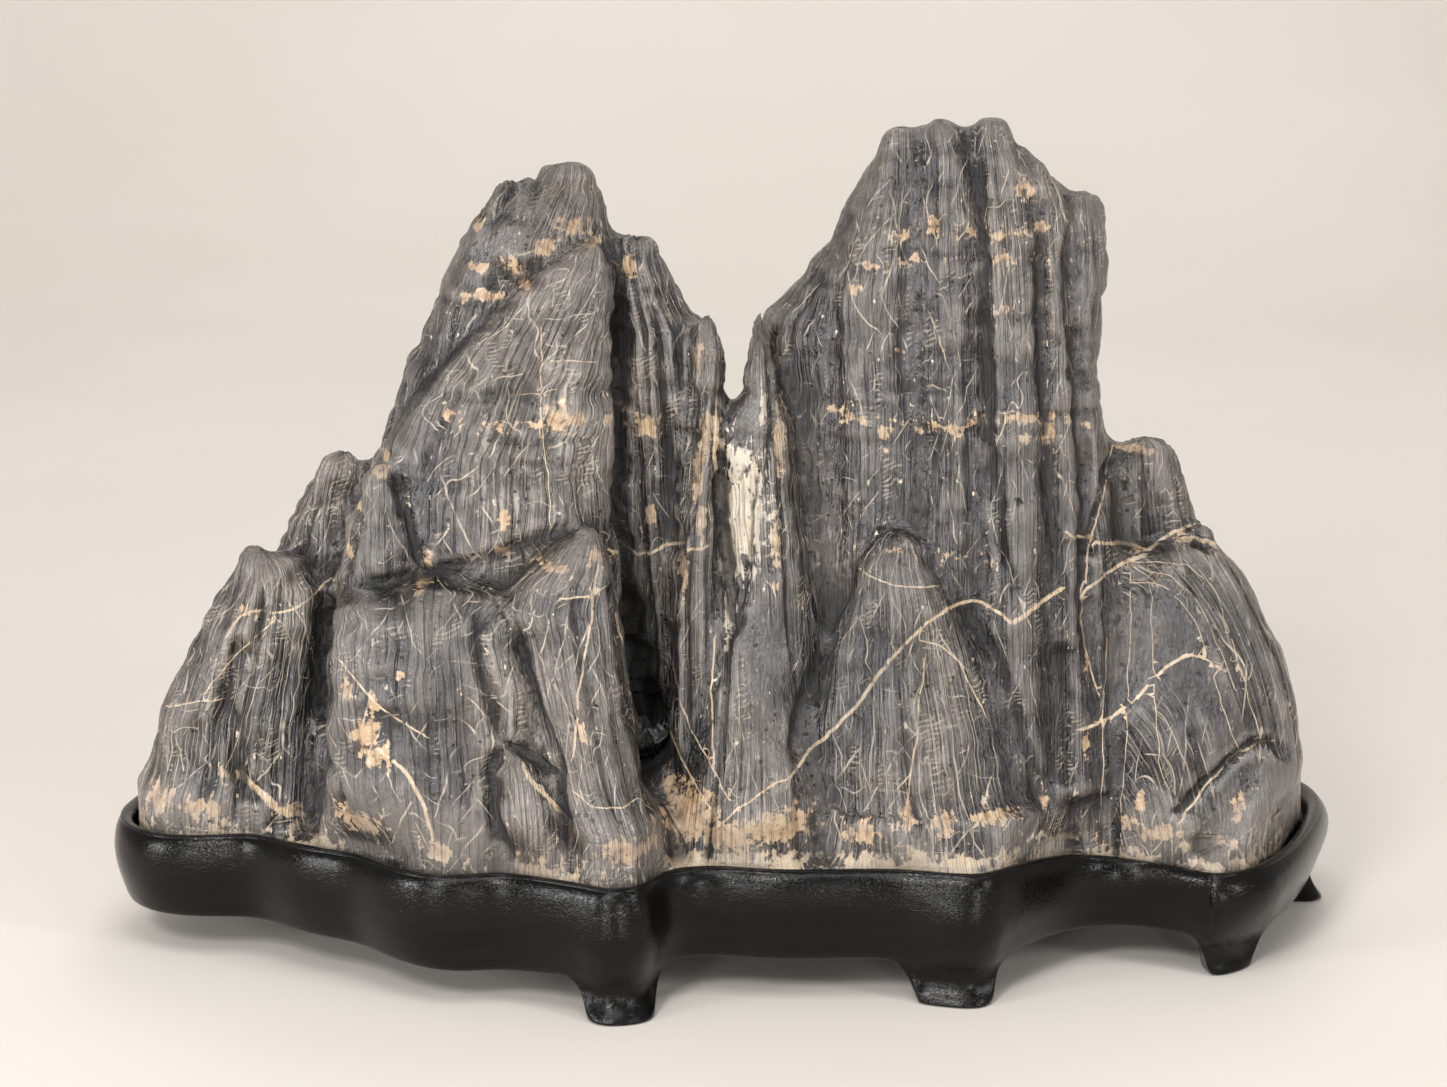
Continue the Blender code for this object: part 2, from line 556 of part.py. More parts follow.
def finished_object(name, mesh):
    """Turn the working mesh into an object of that name in the rock's collection."""
    data = bpy.data.meshes.new(name)
    mesh.to_mesh(data)
    mesh.free()
    thing = bpy.data.objects.new(name, data)
    rock_collection().objects.link(thing)
    return thing


def rock_collection():
    """The collection that holds the finished pieces."""
    found = bpy.data.collections.get("scholars rock")
    if found is None:
        found = bpy.data.collections.new("scholars rock")
        bpy.context.scene.collection.children.link(found)
    return found


def give_finish(thing, name, colour, roughness):
    """Give the piece its material and shade it smooth, with its sharp edges kept."""
    finish = bpy.data.materials.new(name)
    finish.use_nodes = True
    shader = finish.node_tree.nodes["Principled BSDF"]
    shader.inputs["Base Color"].default_value = colour
    shader.inputs["Roughness"].default_value = roughness
    shader.inputs["Metallic"].default_value = 0.0
    thing.data.materials.append(finish)
    thing.data.shade_smooth()
    thing.data.set_sharp_from_angle(angle=math.radians(40))


def main():
    clear_scene()
    stand = make_stand()
    give_finish(stand, "black lacquer", LACQUER_COLOUR, LACQUER_ROUGHNESS)
    stone = make_stone()
    give_finish(stone, "dark limestone", STONE_COLOUR, STONE_ROUGHNESS)


main()
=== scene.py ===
# %% [markdown]
# A scholar's rock is a natural stone that is kept for its looks: here dark limestone, worn into two
# fluted peaks, which stands in a low tray of black lacquered wood. This lesson dresses a plain
# solid model of it. The solid comes first, as a frame that fixes every size, and each piece that is
# made below has to stay inside it.

# %% Load the frame
import math

import bpy
import numpy as np
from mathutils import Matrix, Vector, noise


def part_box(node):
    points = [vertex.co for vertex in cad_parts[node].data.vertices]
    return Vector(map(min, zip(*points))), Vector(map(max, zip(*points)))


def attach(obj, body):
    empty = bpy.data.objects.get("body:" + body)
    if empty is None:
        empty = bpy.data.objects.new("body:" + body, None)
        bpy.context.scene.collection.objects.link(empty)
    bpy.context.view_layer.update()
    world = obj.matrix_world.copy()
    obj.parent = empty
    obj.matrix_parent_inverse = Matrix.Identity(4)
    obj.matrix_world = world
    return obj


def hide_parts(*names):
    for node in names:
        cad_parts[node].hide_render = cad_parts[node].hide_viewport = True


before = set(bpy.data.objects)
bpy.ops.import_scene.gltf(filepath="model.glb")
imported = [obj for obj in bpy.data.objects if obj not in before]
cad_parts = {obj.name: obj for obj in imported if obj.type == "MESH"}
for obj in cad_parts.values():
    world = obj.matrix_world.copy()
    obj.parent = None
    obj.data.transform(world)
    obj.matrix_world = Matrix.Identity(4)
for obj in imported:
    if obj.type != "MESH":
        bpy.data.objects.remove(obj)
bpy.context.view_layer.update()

MM = 0.001
stone_low, stone_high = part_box("stone")


# %% [markdown]
# Operators act on all that is selected, so each step starts with nothing selected. Moving thousands
# of points one by one is slow in Python, so the points of a mesh are read into one array, worked on
# together and written back. These small helpers are used all through the lesson.

# %% Helpers for picking up a piece and its points
def take_up(thing):
    """Select this piece alone and make it active."""
    bpy.ops.object.select_all(action="DESELECT")
    thing.select_set(True)
    bpy.context.view_layer.objects.active = thing


def read_points(thing, what):
    """One row of three numbers for each point of the piece."""
    flat = np.empty(len(thing.data.vertices) * 3)
    thing.data.vertices.foreach_get(what, flat)
    return flat.reshape(-1, 3)


def points_of(thing):
    """The piece's points in millimetres."""
    return read_points(thing, "co") / MM


def facing_of(thing):
    """Which way the surface faces at each point."""
    return read_points(thing, "normal")


def set_points(thing, points):
    """Move the piece's points to these places, in millimetres."""
    thing.data.vertices.foreach_set("co", (points * MM).ravel())
    thing.data.update()


def finish_with(thing, kind, name, **settings):
    """Add a modifier with these settings and apply it at once."""
    take_up(thing)
    modifier = thing.modifiers.new(name, kind)
    for setting, value in settings.items():
        setattr(modifier, setting, value)
    bpy.ops.object.modifier_apply(modifier=modifier.name)


def ease(value, start=0.0, end=1.0):
    """Go smoothly from 0 at the start to 1 at the end."""
    share = np.clip((value - start) / (end - start), 0.0, 1.0)
    return share * share * (3.0 - 2.0 * share)


def bell(value, middle, reach):
    """1 at the middle, and falling to almost 0 at twice the reach on both sides."""
    return np.exp(-(((value - middle) / reach) ** 2))


def lumps(points, size, seed=0.0):
    """Natural unevenness, about -1 to 1, whose lumps are about so many millimetres across."""
    places = (points / size + seed).tolist()
    return np.array([noise.noise(place) for place in places])


print("half way, ease gives", ease(0.5), "and a bell's flank", round(float(bell(1.0, 0.0, 1.0)), 2))


# %% [markdown]
# The stone grew as a bundle of buttresses and spires that lean on each other. Each one is a form
# with a few levels from its foot to its tip, and a level gives the height, the left and right edges
# and the front and back edges in millimetres. The solid model was grown from the same table, so the
# dressed stone keeps its shape. The first number says how square the sections are: 2 is an oval.

# %% The forms of the stone
STONE_FORMS = {
    "left tower": (2.5, [
        (30, -146, -20, -39, 69), (78, -144, -23, -34, 63), (123, -133, -26, -27, 55),
        (155, -120, -29, -21, 49), (178, -112, -31, -15, 45), (203, -102, -33, -11, 40),
        (222, -94, -35, -7, 36), (238, -87, -37, -3, 33), (248, -75, -40, 1, 30),
        (255, -66, -42, 5, 27), (259, -62, -44, 9, 24), (262, -59, -46, 13, 19),
    ]),
    "left step": (2.4, [
        (140, -96, -56, -5, 35), (222, -94, -55, -3, 31), (238, -87, -57, -1, 29),
        (247, -81, -59, 3, 27), (253, -78, -61, 6, 24), (256, -74, -65, 11, 19),
    ]),
    "left slab": (3.0, [
        (30, -115, -29, -59, 11), (88, -114, -31, -49, 11), (130, -113, -34, -36, 9),
        (172, -108, -36, -26, 7), (194, -94, -37, -20, 5), (213, -75, -37, -15, 5),
        (226, -61, -38, -11, 3), (236, -51, -39, -7, 1), (239, -47, -41, -5, -1),
    ]),
    "left shoulder": (2.4, [
        (30, -30, 3, -29, 53), (114, -33, 0, -15, 43), (148, -34, -3, -11, 39),
        (183, -35, -5, -9, 34), (209, -35, -9, -6, 29), (218, -35, -15, -4, 27),
        (229, -35, -21, -1, 23), (236, -34, -24, 3, 19), (239, -33, -26, 7, 15),
    ]),
    "left blade": (2.2, [
        (30, -24, 13, -51, 21), (86, -22, 3, -39, 16), (133, -19, -1, -29, 11),
        (170, -15, -1, -23, 7), (190, -12, -1, -19, 5), (204, -10, -1, -16, 3),
        (212, -10, -3, -13, -1), (217, -8, -6, -9, -5),
    ]),
    "left spur": (2.2, [
        (30, -132, -94, -51, 1), (110, -129, -95, -45, -1), (132, -126, -98, -40, -4),
        (143, -124, -100, -37, -6), (152, -122, -102, -35, -8), (163, -117, -107, -29, -14),
        (168, -115, -110, -24, -18),
    ]),
    "left block": (3.0, [
        (30, -133, -48, -70, 1), (60, -133, -49, -69, 1), (77, -132, -53, -66, -1),
        (109, -130, -58, -60, -4), (123, -127, -63, -55, -7), (127, -124, -66, -50, -11),
        (131, -117, -72, -42, -17),
    ]),
    "block lobe": (2.2, [
        (30, -78, -52, -77, -29), (60, -77, -52, -76, -29), (68, -76, -54, -73, -31),
        (78, -75, -57, -69, -35), (83, -72, -63, -63, -43),
    ]),
    "front pinnacle": (2.3, [
        (30, -55, -18, -81, -9), (60, -55, -20, -79, -9), (72, -59, -26, -72, -9),
        (88, -63, -29, -67, -13), (104, -67, -32, -62, -17), (127, -72, -35, -55, -19),
        (136, -67, -36, -53, -23), (143, -58, -38, -50, -27), (149, -50, -40, -46, -33),
        (153, -46, -42, -43, -37),
    ]),
    "left hill": (2.4, [
        (30, -200, -130, -25, 38), (52, -199, -129, -23, 37), (60, -195, -130, -21, 34),
        (80, -190, -131, -18, 30), (99, -180, -132, -15, 25), (117, -172, -134, -12, 19),
        (126, -165, -139, -9, 13), (132, -161, -145, -7, 6), (135, -156, -151, -4, 1),
    ]),
    "left back ridge": (2.4, [
        (30, -168, -106, -9, 63), (94, -158, -108, -4, 51), (129, -151, -113, 3, 41),
        (142, -146, -118, 7, 35), (151, -141, -121, 10, 29), (158, -136, -122, 12, 25),
        (164, -131, -125, 14, 20),
    ]),
    "right spire": (2.2, [
        (30, -9, 39, -59, 21), (87, -4, 34, -43, 16), (120, -3, 29, -33, 11), (154, -1, 24, -25, 7),
        (181, 1, 20, -19, 3), (190, 5, 17, -17, 1), (206, 7, 14, -14, -1), (212, 8, 13, -11, -3),
        (218, 10, 12, -8, -5),
    ]),
    "black fin": (2.0, [
        (165, -3, 5, -23, -5), (175, -1, 7, -20, -5), (183, 1, 9, -18, -6), (188, 4, 9, -16, -7),
        (190, 6, 9, -14, -9),
    ]),
    "right tower": (2.8, [
        (30, 6, 145, -41, 73), (77, 9, 137, -33, 69), (130, 11, 132, -23, 61),
        (166, 13, 129, -15, 55), (191, 14, 123, -11, 51), (211, 14, 121, -7, 47),
        (221, 24, 119, -5, 45), (236, 34, 116, -3, 41), (249, 40, 111, -1, 37),
        (257, 45, 105, 1, 33), (264, 48, 98, 4, 27), (269, 52, 93, 8, 21),
    ]),
    "column one": (2.4, [
        (60, 25, 75, -39, 31), (169, 32, 76, -20, 31), (216, 31, 74, -12, 31),
        (237, 37, 70, -7, 29), (258, 46, 67, -2, 25), (267, 49, 64, 2, 21), (272, 51, 62, 4, 19),
        (274, 53, 60, 8, 15),
    ]),
    "column two": (2.4, [
        (60, 56, 92, -42, 31), (169, 59, 89, -24, 31), (217, 58, 87, -16, 29),
        (250, 59, 84, -8, 27), (266, 62, 81, -2, 24), (273, 64, 77, 3, 20), (277, 66, 73, 7, 15),
    ]),
    "column three": (2.4, [
        (60, 77, 112, -45, 33), (169, 79, 108, -26, 33), (217, 79, 106, -18, 31),
        (250, 78, 103, -9, 29), (266, 78, 98, -3, 25), (272, 80, 94, 2, 20), (277, 83, 90, 7, 15),
    ]),
    "column four": (2.4, [
        (60, 95, 125, -40, 33), (169, 96, 120, -20, 29), (217, 96, 117, -13, 27),
        (250, 95, 112, -5, 25), (258, 96, 108, -1, 23), (263, 99, 104, 5, 17),
    ]),
    "column five": (2.4, [
        (60, 108, 136, -31, 39), (168, 107, 127, -14, 33), (193, 108, 123, -10, 31),
        (217, 108, 124, -7, 29), (222, 109, 126, -6, 29), (236, 110, 125, -4, 27),
        (247, 110, 124, 0, 24), (252, 112, 122, 5, 19),
    ]),
    "right shoulder": (2.8, [
        (30, 121, 186, -19, 55), (77, 122, 173, -9, 49), (126, 123, 162, -3, 43),
        (143, 124, 158, 1, 37), (155, 126, 154, 5, 33), (163, 129, 150, 9, 29),
        (167, 134, 145, 14, 24),
    ]),
    "knob": (2.0, [
        (132, 157, 160, 3, 9), (135, 155, 163, 0, 13), (139, 155, 164, -1, 14),
        (143, 157, 161, 3, 10),
    ]),
    "right dome": (2.9, [
        (30, 120, 202, -34, 49), (31, 121, 200, -33, 47), (57, 120, 197, -32, 41),
        (76, 119, 192, -30, 35), (100, 118, 186, -26, 29), (115, 119, 178, -22, 24),
        (127, 122, 171, -17, 17), (133, 127, 166, -13, 11), (136, 136, 160, -8, 4),
    ]),
    "right foot dome": (2.2, [
        (30, 149, 195, -39, 11), (41, 150, 194, -38, 11), (54, 157, 192, -35, 7),
        (67, 166, 188, -29, 1), (72, 172, 182, -23, -5),
    ]),
    "right dome belly": (2.2, [
        (30, 120, 189, -36, 11), (52, 121, 185, -36, 9), (80, 122, 175, -33, 5),
        (101, 127, 165, -27, -1), (121, 133, 156, -21, -7),
    ]),
    "front dome": (2.2, [
        (30, 18, 112, -62, 11), (60, 19, 110, -60, 11), (57, 21, 106, -57, 9),
        (72, 23, 101, -54, 6), (89, 26, 95, -50, 3), (106, 31, 86, -45, -1), (125, 38, 77, -40, -7),
        (137, 42, 69, -36, -13), (142, 46, 66, -33, -17), (146, 50, 60, -30, -21),
    ]),
    "middle foot": (2.3, [
        (30, -31, 47, -61, 51), (58, -26, 42, -58, 49), (75, -20, 37, -51, 46),
        (98, -14, 30, -42, 41), (118, -9, 21, -33, 33), (132, -6, 13, -25, 25),
    ]),
    "rough lip": (2.2, [
        (30, 82, 118, -57, -9), (46, 84, 116, -56, -9), (55, 87, 113, -51, -11),
        (59, 91, 108, -45, -17),
    ]),
    "back left buttress": (2.4, [
        (30, -128, -41, 1, 81), (100, -112, -43, 1, 73), (160, -97, -46, 6, 63),
        (195, -83, -51, 9, 53), (212, -72, -58, 17, 43),
    ]),
    "back left rib": (2.3, [
        (30, -150, -107, 21, 79), (80, -137, -103, 21, 67), (130, -122, -98, 21, 57),
        (165, -112, -97, 25, 47),
    ]),
    "back middle ridge": (2.3, [
        (30, -44, 47, 1, 77), (80, -33, 36, 1, 65), (120, -23, 25, 3, 53), (145, -12, 13, 13, 39),
    ]),
    "back right buttress": (2.5, [
        (30, 43, 117, 11, 85), (90, 50, 112, 11, 79), (160, 59, 107, 13, 69), (215, 67, 99, 15, 55),
        (232, 75, 92, 25, 45),
    ]),
    "back right rib": (2.3, [
        (30, 19, 61, 21, 81), (80, 22, 53, 21, 71), (140, 27, 52, 21, 59), (185, 33, 49, 25, 49),
    ]),
    "back right spur": (2.4, [
        (30, 113, 176, 11, 77), (80, 115, 167, 11, 69), (130, 121, 155, 13, 57),
        (152, 128, 146, 21, 45),
    ]),
    "back left spur": (2.4, [
        (30, -179, -113, 1, 65), (80, -167, -115, 3, 57), (122, -150, -118, 7, 45),
        (138, -140, -125, 15, 35),
    ]),
}
tallest = max(levels[-1][0] for _, levels in STONE_FORMS.values())
print(len(STONE_FORMS), "forms, the tallest", tallest, "mm")


# %% [markdown]
# A ball with many rings makes a good start for such a form. Its rings are spread evenly over the
# levels, and each ring is drawn out to the level's width and depth. Low powers of the sine and the
# cosine make the section squarer than an oval, as a buttress is.

# %% Grow the forms from balls
SIDES_OF_A_FORM = 40
RINGS_PER_LEVEL = 4
AT_THE_POLES = 1e-4  # the points this near the ball's axis stay on it


def grow_form(name, squareness, levels):
    """Make one buttress or spire from a ball."""
    rows = np.array(levels, dtype=float)
    rings = RINGS_PER_LEVEL * (len(rows) - 1) + 2
    bpy.ops.object.select_all(action="DESELECT")
    bpy.ops.mesh.primitive_uv_sphere_add(segments=SIDES_OF_A_FORM, ring_count=rings, radius=1.0)
    form = bpy.context.object
    form.name = name
    ball = points_of(form) * MM
    rise = 1.0 - np.arccos(np.clip(ball[:, 2], -1.0, 1.0)) / math.pi
    place = np.clip((rise * rings - 1.0) / RINGS_PER_LEVEL, 0.0, len(rows) - 1.0)
    height, left, right, front, back = (
        np.interp(place, np.arange(len(rows)), rows[:, column]) for column in range(5)
    )
    reach = np.hypot(ball[:, 0], ball[:, 1])

    def squared(share):
        share = share / np.maximum(reach, AT_THE_POLES)
        return np.sign(share) * abs(share) ** (2.0 / squareness) * (reach > AT_THE_POLES)

    wide = (left + right) / 2.0 + squared(ball[:, 0]) * (right - left) / 2.0
    thick = (front + back) / 2.0 + squared(ball[:, 1]) * (back - front) / 2.0
    set_points(form, np.stack([wide, thick, height], axis=1))
    return form


grown = [grow_form(name, *form) for name, form in STONE_FORMS.items()]
print("grown:", sum(len(form.data.vertices) for form in grown), "points")


# %% [markdown]
# The stand's hollow is carved to the foot of this one stone, so the foot is not drawn again: it is
# the bottom slice of the solid stone. A solid from the frame is never changed itself. Its mesh is
# copied and the loose triangles are merged, and then the copy is cut with a level plane.

# %% Take the foot from the solid
FOOT_CUT = 43.0
SAME_POINT = 0.00002  # in metres


def merged_copy(node, name):
    """A copy of a solid of the frame, with its loose triangles joined again."""
    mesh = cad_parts[node].data.copy()
    copy = bpy.data.objects.new(name, mesh)
    bpy.context.scene.collection.objects.link(copy)
    mesh.materials.clear()
    take_up(copy)
    bpy.ops.object.mode_set(mode="EDIT")
    bpy.ops.mesh.select_all(action="SELECT")
    bpy.ops.mesh.remove_doubles(threshold=SAME_POINT)
    bpy.ops.mesh.normals_make_consistent(inside=False)
    bpy.ops.object.mode_set(mode="OBJECT")
    return copy


foot = merged_copy("stone", "foot")
bpy.ops.object.mode_set(mode="EDIT")
bpy.ops.mesh.select_all(action="SELECT")
bpy.ops.mesh.bisect(
    plane_co=(0, 0, FOOT_CUT * MM), plane_no=(0, 0, 1), clear_outer=True, use_fill=True
)
bpy.ops.object.mode_set(mode="OBJECT")
print("foot:", len(foot.data.polygons), "faces, up to", round(points_of(foot)[:, 2].max(), 1), "mm")


# %% [markdown]
# All the forms overlap, and the foot with them. Joined in one object they still are many closed
# skins, so a voxel remesh wraps them in a single new one. Where two forms meet, a real stone has
# grown together and no sharp gap is left. To close the gaps, the skin is swollen by a few
# millimetres, wrapped again, and shrunk by as much: what has merged stays merged. Only the slit
# between the two thin spires stays open, because the skin hardly swells there.

# %% Join the forms in one skin
COARSE_CELL, COARSE_ROUNDS = 2.0, 2
SKIN_CELL, SKIN_ROUNDS = 1.25, 3
GROWN_TOGETHER = 3.2
SLIT_X, SLIT_FOOT = 2.0, 165.0  # the slit between the two thin spires, and the height of its foot
SLIT_REACH = (7.0, 12.0)
SLIT_FADE = 20.0
HELD_OPEN = 0.85

take_up(foot)
for form in grown:
    form.select_set(True)
bpy.ops.object.join()
stone = bpy.context.object
stone.name = "dark_limestone"


def wrap(thing, cell, rounds):
    """Wrap the piece in one new skin and take off the steps of the grid."""
    finish_with(thing, "REMESH", "one skin", mode="VOXEL", voxel_size=cell * MM)
    finish_with(thing, "SMOOTH", "take off the steps", factor=0.5, iterations=rounds)


def swell(thing, distance):
    """Move the skin out by the distance, or in if it is negative, but little at the open slit."""
    points = points_of(thing)
    at_the_slit = 1.0 - ease(abs(points[:, 0] - SLIT_X), *SLIT_REACH)
    at_the_slit *= ease(points[:, 2], SLIT_FOOT, SLIT_FOOT + SLIT_FADE)
    share = 1.0 - HELD_OPEN * at_the_slit
    set_points(thing, points + facing_of(thing) * (distance * share)[:, None])


wrap(stone, COARSE_CELL, COARSE_ROUNDS)
for distance in (GROWN_TOGETHER, -GROWN_TOGETHER):
    swell(stone, distance)
    wrap(stone, SKIN_CELL, SKIN_ROUNDS)
print("one skin:", len(stone.data.vertices), "points")


# %% [markdown]
# Everything that water and sand have worn into this stone runs along its forms: grooves, flutes and
# hairlines go from the foot of a buttress to its tip. So each point of the skin needs to know which
# form it lies on, how far round that form it is, and how high. Towards the tip the lines run a
# little closer together, as the form gets slimmer. On the right dome the layers lie like the skins
# of an onion instead, so there the first number is the distance from its heart.

# %% Find the grain of the stone
BORDER = (0.5, 5.0)  # near the border of two forms the grain fades over this distance
DOME_FORMS = ("right dome", "right dome belly", "right foot dome")
DOME_HEART = (116.0, 34.0)
DOME_TALLNESS = 1.8
DOME_BACK = 10.0
TURN_LENGTH = 60.0  # one radian round the heart counts as so many millimetres up
JUMP = 37.0  # far enough that a pattern doesn't run on from one form to the next


def grain_of(points):
    """For each point: its form's number, bearing and girth, 0 at its border, and how slim it is."""
    closest = np.full(len(points), np.inf)
    next_closest = np.full(len(points), np.inf)
    which = np.zeros(len(points), dtype=int)
    bearing, girth, slim = np.ones((3, len(points)))
    for number, (squareness, levels) in enumerate(STONE_FORMS.values()):
        rows = np.array(levels, dtype=float)
        height = np.clip(points[:, 2], rows[0, 0], rows[-1, 0])
        left, right, front, back = (
            np.interp(height, rows[:, 0], rows[:, column]) for column in range(1, 5)
        )
        across = (points[:, 0] - (left + right) / 2.0) / ((right - left) / 2.0)
        deep = (points[:, 1] - (front + back) / 2.0) / ((back - front) / 2.0)
        reach = (abs(across) ** squareness + abs(deep) ** squareness) ** (1.0 / squareness)
        away = (reach - 1.0) * np.minimum(right - left, back - front) / 2.0
        away += abs(points[:, 2] - height)
        next_closest = np.minimum(next_closest, np.maximum(away, closest))
        nearer = away < closest
        closest[nearer] = away[nearer]
        which[nearer] = number
        bearing[nearer] = np.arctan2(across, -deep)[nearer]
        foot_girth = (rows[0, 2] - rows[0, 1] + rows[0, 4] - rows[0, 3]) / 4.0
        girth[nearer] = foot_girth
        slim[nearer] = ((right - left + back - front) / 4.0 / foot_girth)[nearer]
    return which, bearing, girth, ease(next_closest - closest, *BORDER), slim


def along_the_grain(points):
    """Three numbers for patterns: the way round the form, the height, and a jump for each form."""
    which, bearing, girth, _, slim = grain_of(points)
    round_it = bearing * girth * slim**0.6
    height = points[:, 2].copy()
    names = list(STONE_FORMS)
    onion = np.isin(which, [names.index(name) for name in DOME_FORMS])
    onion &= points[:, 1] < DOME_BACK
    from_heart = (points[:, [0, 2]] - DOME_HEART) / (1.0, DOME_TALLNESS)
    round_it[onion] = np.hypot(from_heart[:, 0], from_heart[:, 1])[onion]
    height[onion] = (np.arctan2(from_heart[:, 1], from_heart[:, 0]) * TURN_LENGTH)[onion]
    return np.stack([round_it, height, which * JUMP], axis=1)


a_tip = np.array([[70.0, -5.0, 268.0]])
print("the grain near the highest tip:", along_the_grain(a_tip)[0].round(1))


# %% [markdown]
# The widest marks are the upright flutes. They lie at even steps round each form, pushed a little
# to and fro by slow waves, and some are much deeper than others. The solid stone has them in the
# same places.

# %% Draw the flutes
FLUTE_DEPTH = 3.0
FLUTE_SPACING = 19.0
FLUTE_WIDTH = 3.8
FLUTED = (0.2, 0.5)  # the slimmest parts of a form have no flutes


def flutes(points):
    """How deep the wide upright grooves cut, in the same places as on the solid stone."""
    which, bearing, girth, inside, slim = grain_of(points)
    count = bearing * girth / FLUTE_SPACING
    count += 0.35 * np.sin(count * 2.7 + which * 2.1)
    count += 0.2 * np.sin(points[:, 2] / 31.0 + which)
    off_middle = abs(count - np.round(count))
    groove = np.exp(-((off_middle * FLUTE_SPACING / FLUTE_WIDTH) ** 2))
    uneven = 0.2 + 0.8 * (0.5 + 0.5 * np.sin(np.round(count) * 2.4 + which * 1.7))
    return FLUTE_DEPTH * groove * uneven * inside * ease(slim, *FLUTED)


print("flutes every", FLUTE_SPACING, "mm, up to", FLUTE_DEPTH, "mm deep")


# %% [markdown]
# The marks that give this stone its face are set one by one. Each is a line of points seen from the
# front, as X and height in millimetres. Creases are cut in and ridges are raised, with a width and
# a depth. Veins are seams of pale tan mineral with a width, cracks are dark and thin, and bands are
# level beds where tan stains gather, with a strength. A patch has its middle and its half sizes:
# a stain in tan or in the white mineral, or painted shade that darkens a part of the stone.

# %% Where the marks lie
CREASES = [
    (1.7, 5.0, [(-34, 233), (-34, 210), (-34, 180), (-34, 155), (-31, 124), (-27, 90), (-23, 63)]),
    (3.0, 4.0, [(-32, 125), (-29, 101), (-25, 85), (-22, 68)]),
    (2.0, 2.5, [(-38, 137), (-34, 117), (-30, 93), (-26, 74), (-21, 59)]),
    (1.6, 2.3, [(-69, 125), (-64, 109), (-58, 92), (-54, 81), (-52, 65), (-51, 50)]),
    (2.4, 2.2, [(-79, 128), (-78, 109), (-73, 94), (-72, 87)]),
    (1.8, 2.2, [(-72, 86), (-76, 78), (-75, 64), (-71, 48)]),
    (1.5, 1.8, [(-71, 87), (-63, 83), (-54, 77)]),
    (1.4, 1.6, [(-108, 166), (-104, 155), (-101, 144), (-98, 136)]),
    (2.4, 2.0, [(-120, 156), (-122, 148), (-124, 134)]),
    (1.8, 1.5, [(-123, 133), (-100, 135), (-78, 140), (-65, 145), (-48, 151)]),
    (3.2, 5.0, [(-131, 122), (-133, 103), (-135, 84), (-129, 71), (-130, 54)]),
    (3.0, 2.0, [(-157, 107), (-165, 87), (-164, 68), (-154, 52)]),
    (1.8, 3.0, [(-1, 176), (-2, 157), (0, 137), (1, 116), (-3, 97)]),
    (2.2, 2.6, [(-11, 194), (-13, 169), (-16, 140), (-19, 107), (-20, 85)]),
    (2.6, 2.0, [(-23, 219), (-22, 194), (-20, 164), (-21, 134)]),
    (2.0, 1.9, [(78, 273), (81, 263), (83, 234), (84, 205), (85, 177), (89, 145), (94, 123)]),
    (2.4, 0.7, [(66, 273), (67, 262), (67, 221), (69, 183), (66, 157)]),
    (2.0, 1.4, [(102, 252), (102, 221), (104, 183), (106, 151), (109, 125)]),
    (2.2, 1.9, [(112, 247), (112, 221), (115, 188), (118, 156), (117, 127), (120, 97)]),
    (1.8, 0.9, [(58, 243), (57, 214), (58, 182)]),
    (2.4, 2.6, [(129, 167), (124, 154), (119, 136)]),
    (2.6, 1.5, [(40, 131), (34, 116), (29, 102), (24, 89), (21, 75)]),
    (2.2, 1.4, [(75, 127), (86, 110), (93, 94), (99, 76), (104, 57)]),
    (1.2, 0.5, [(39, 125), (41, 134), (45, 140), (51, 144), (57, 144), (63, 142), (69, 135)]),
    (5.0, 3.0, [(109, 112), (111, 86), (112, 63)]),
    (1.8, 2.0, [(146, 52), (153, 60), (164, 70), (173, 76), (181, 76), (187, 69)]),
    (1.6, 2.0, [(154, 138), (158, 137), (162, 136)]),
    (0.9, 1.4, [(14, 210), (14, 195), (14, 176), (13, 157)]),
    (2.0, 1.8, [(11, 170), (8, 151), (5, 132), (3, 113)]),
    (1.2, 0.6, [(-78, 178), (-60, 177), (-39, 177)]),
    (1.0, 0.4, [(-76, 170), (-54, 169), (-39, 170)]),
    (1.8, 1.2, [(-79, 224), (-74, 229), (-67, 227), (-59, 233)]),
]
RIDGES = [
    (2.4, 1.8, [(-48, 237), (-61, 226), (-75, 213), (-93, 194), (-107, 173), (-118, 159)]),
    (2.2, 1.4, [(-123, 125), (-115, 129), (-95, 130), (-78, 129), (-71, 128), (-65, 118)]),
    (2.2, 1.6, [
        (-136, 131), (-146, 129), (-155, 124), (-160, 114), (-167, 103), (-173, 89), (-178, 77),
    ]),
    (3.0, 1.2, [(-43, 151), (-40, 130), (-35, 102), (-28, 70), (-23, 55)]),
    (2.4, 1.2, [(55, 268), (47, 252), (39, 235), (31, 218)]),
]
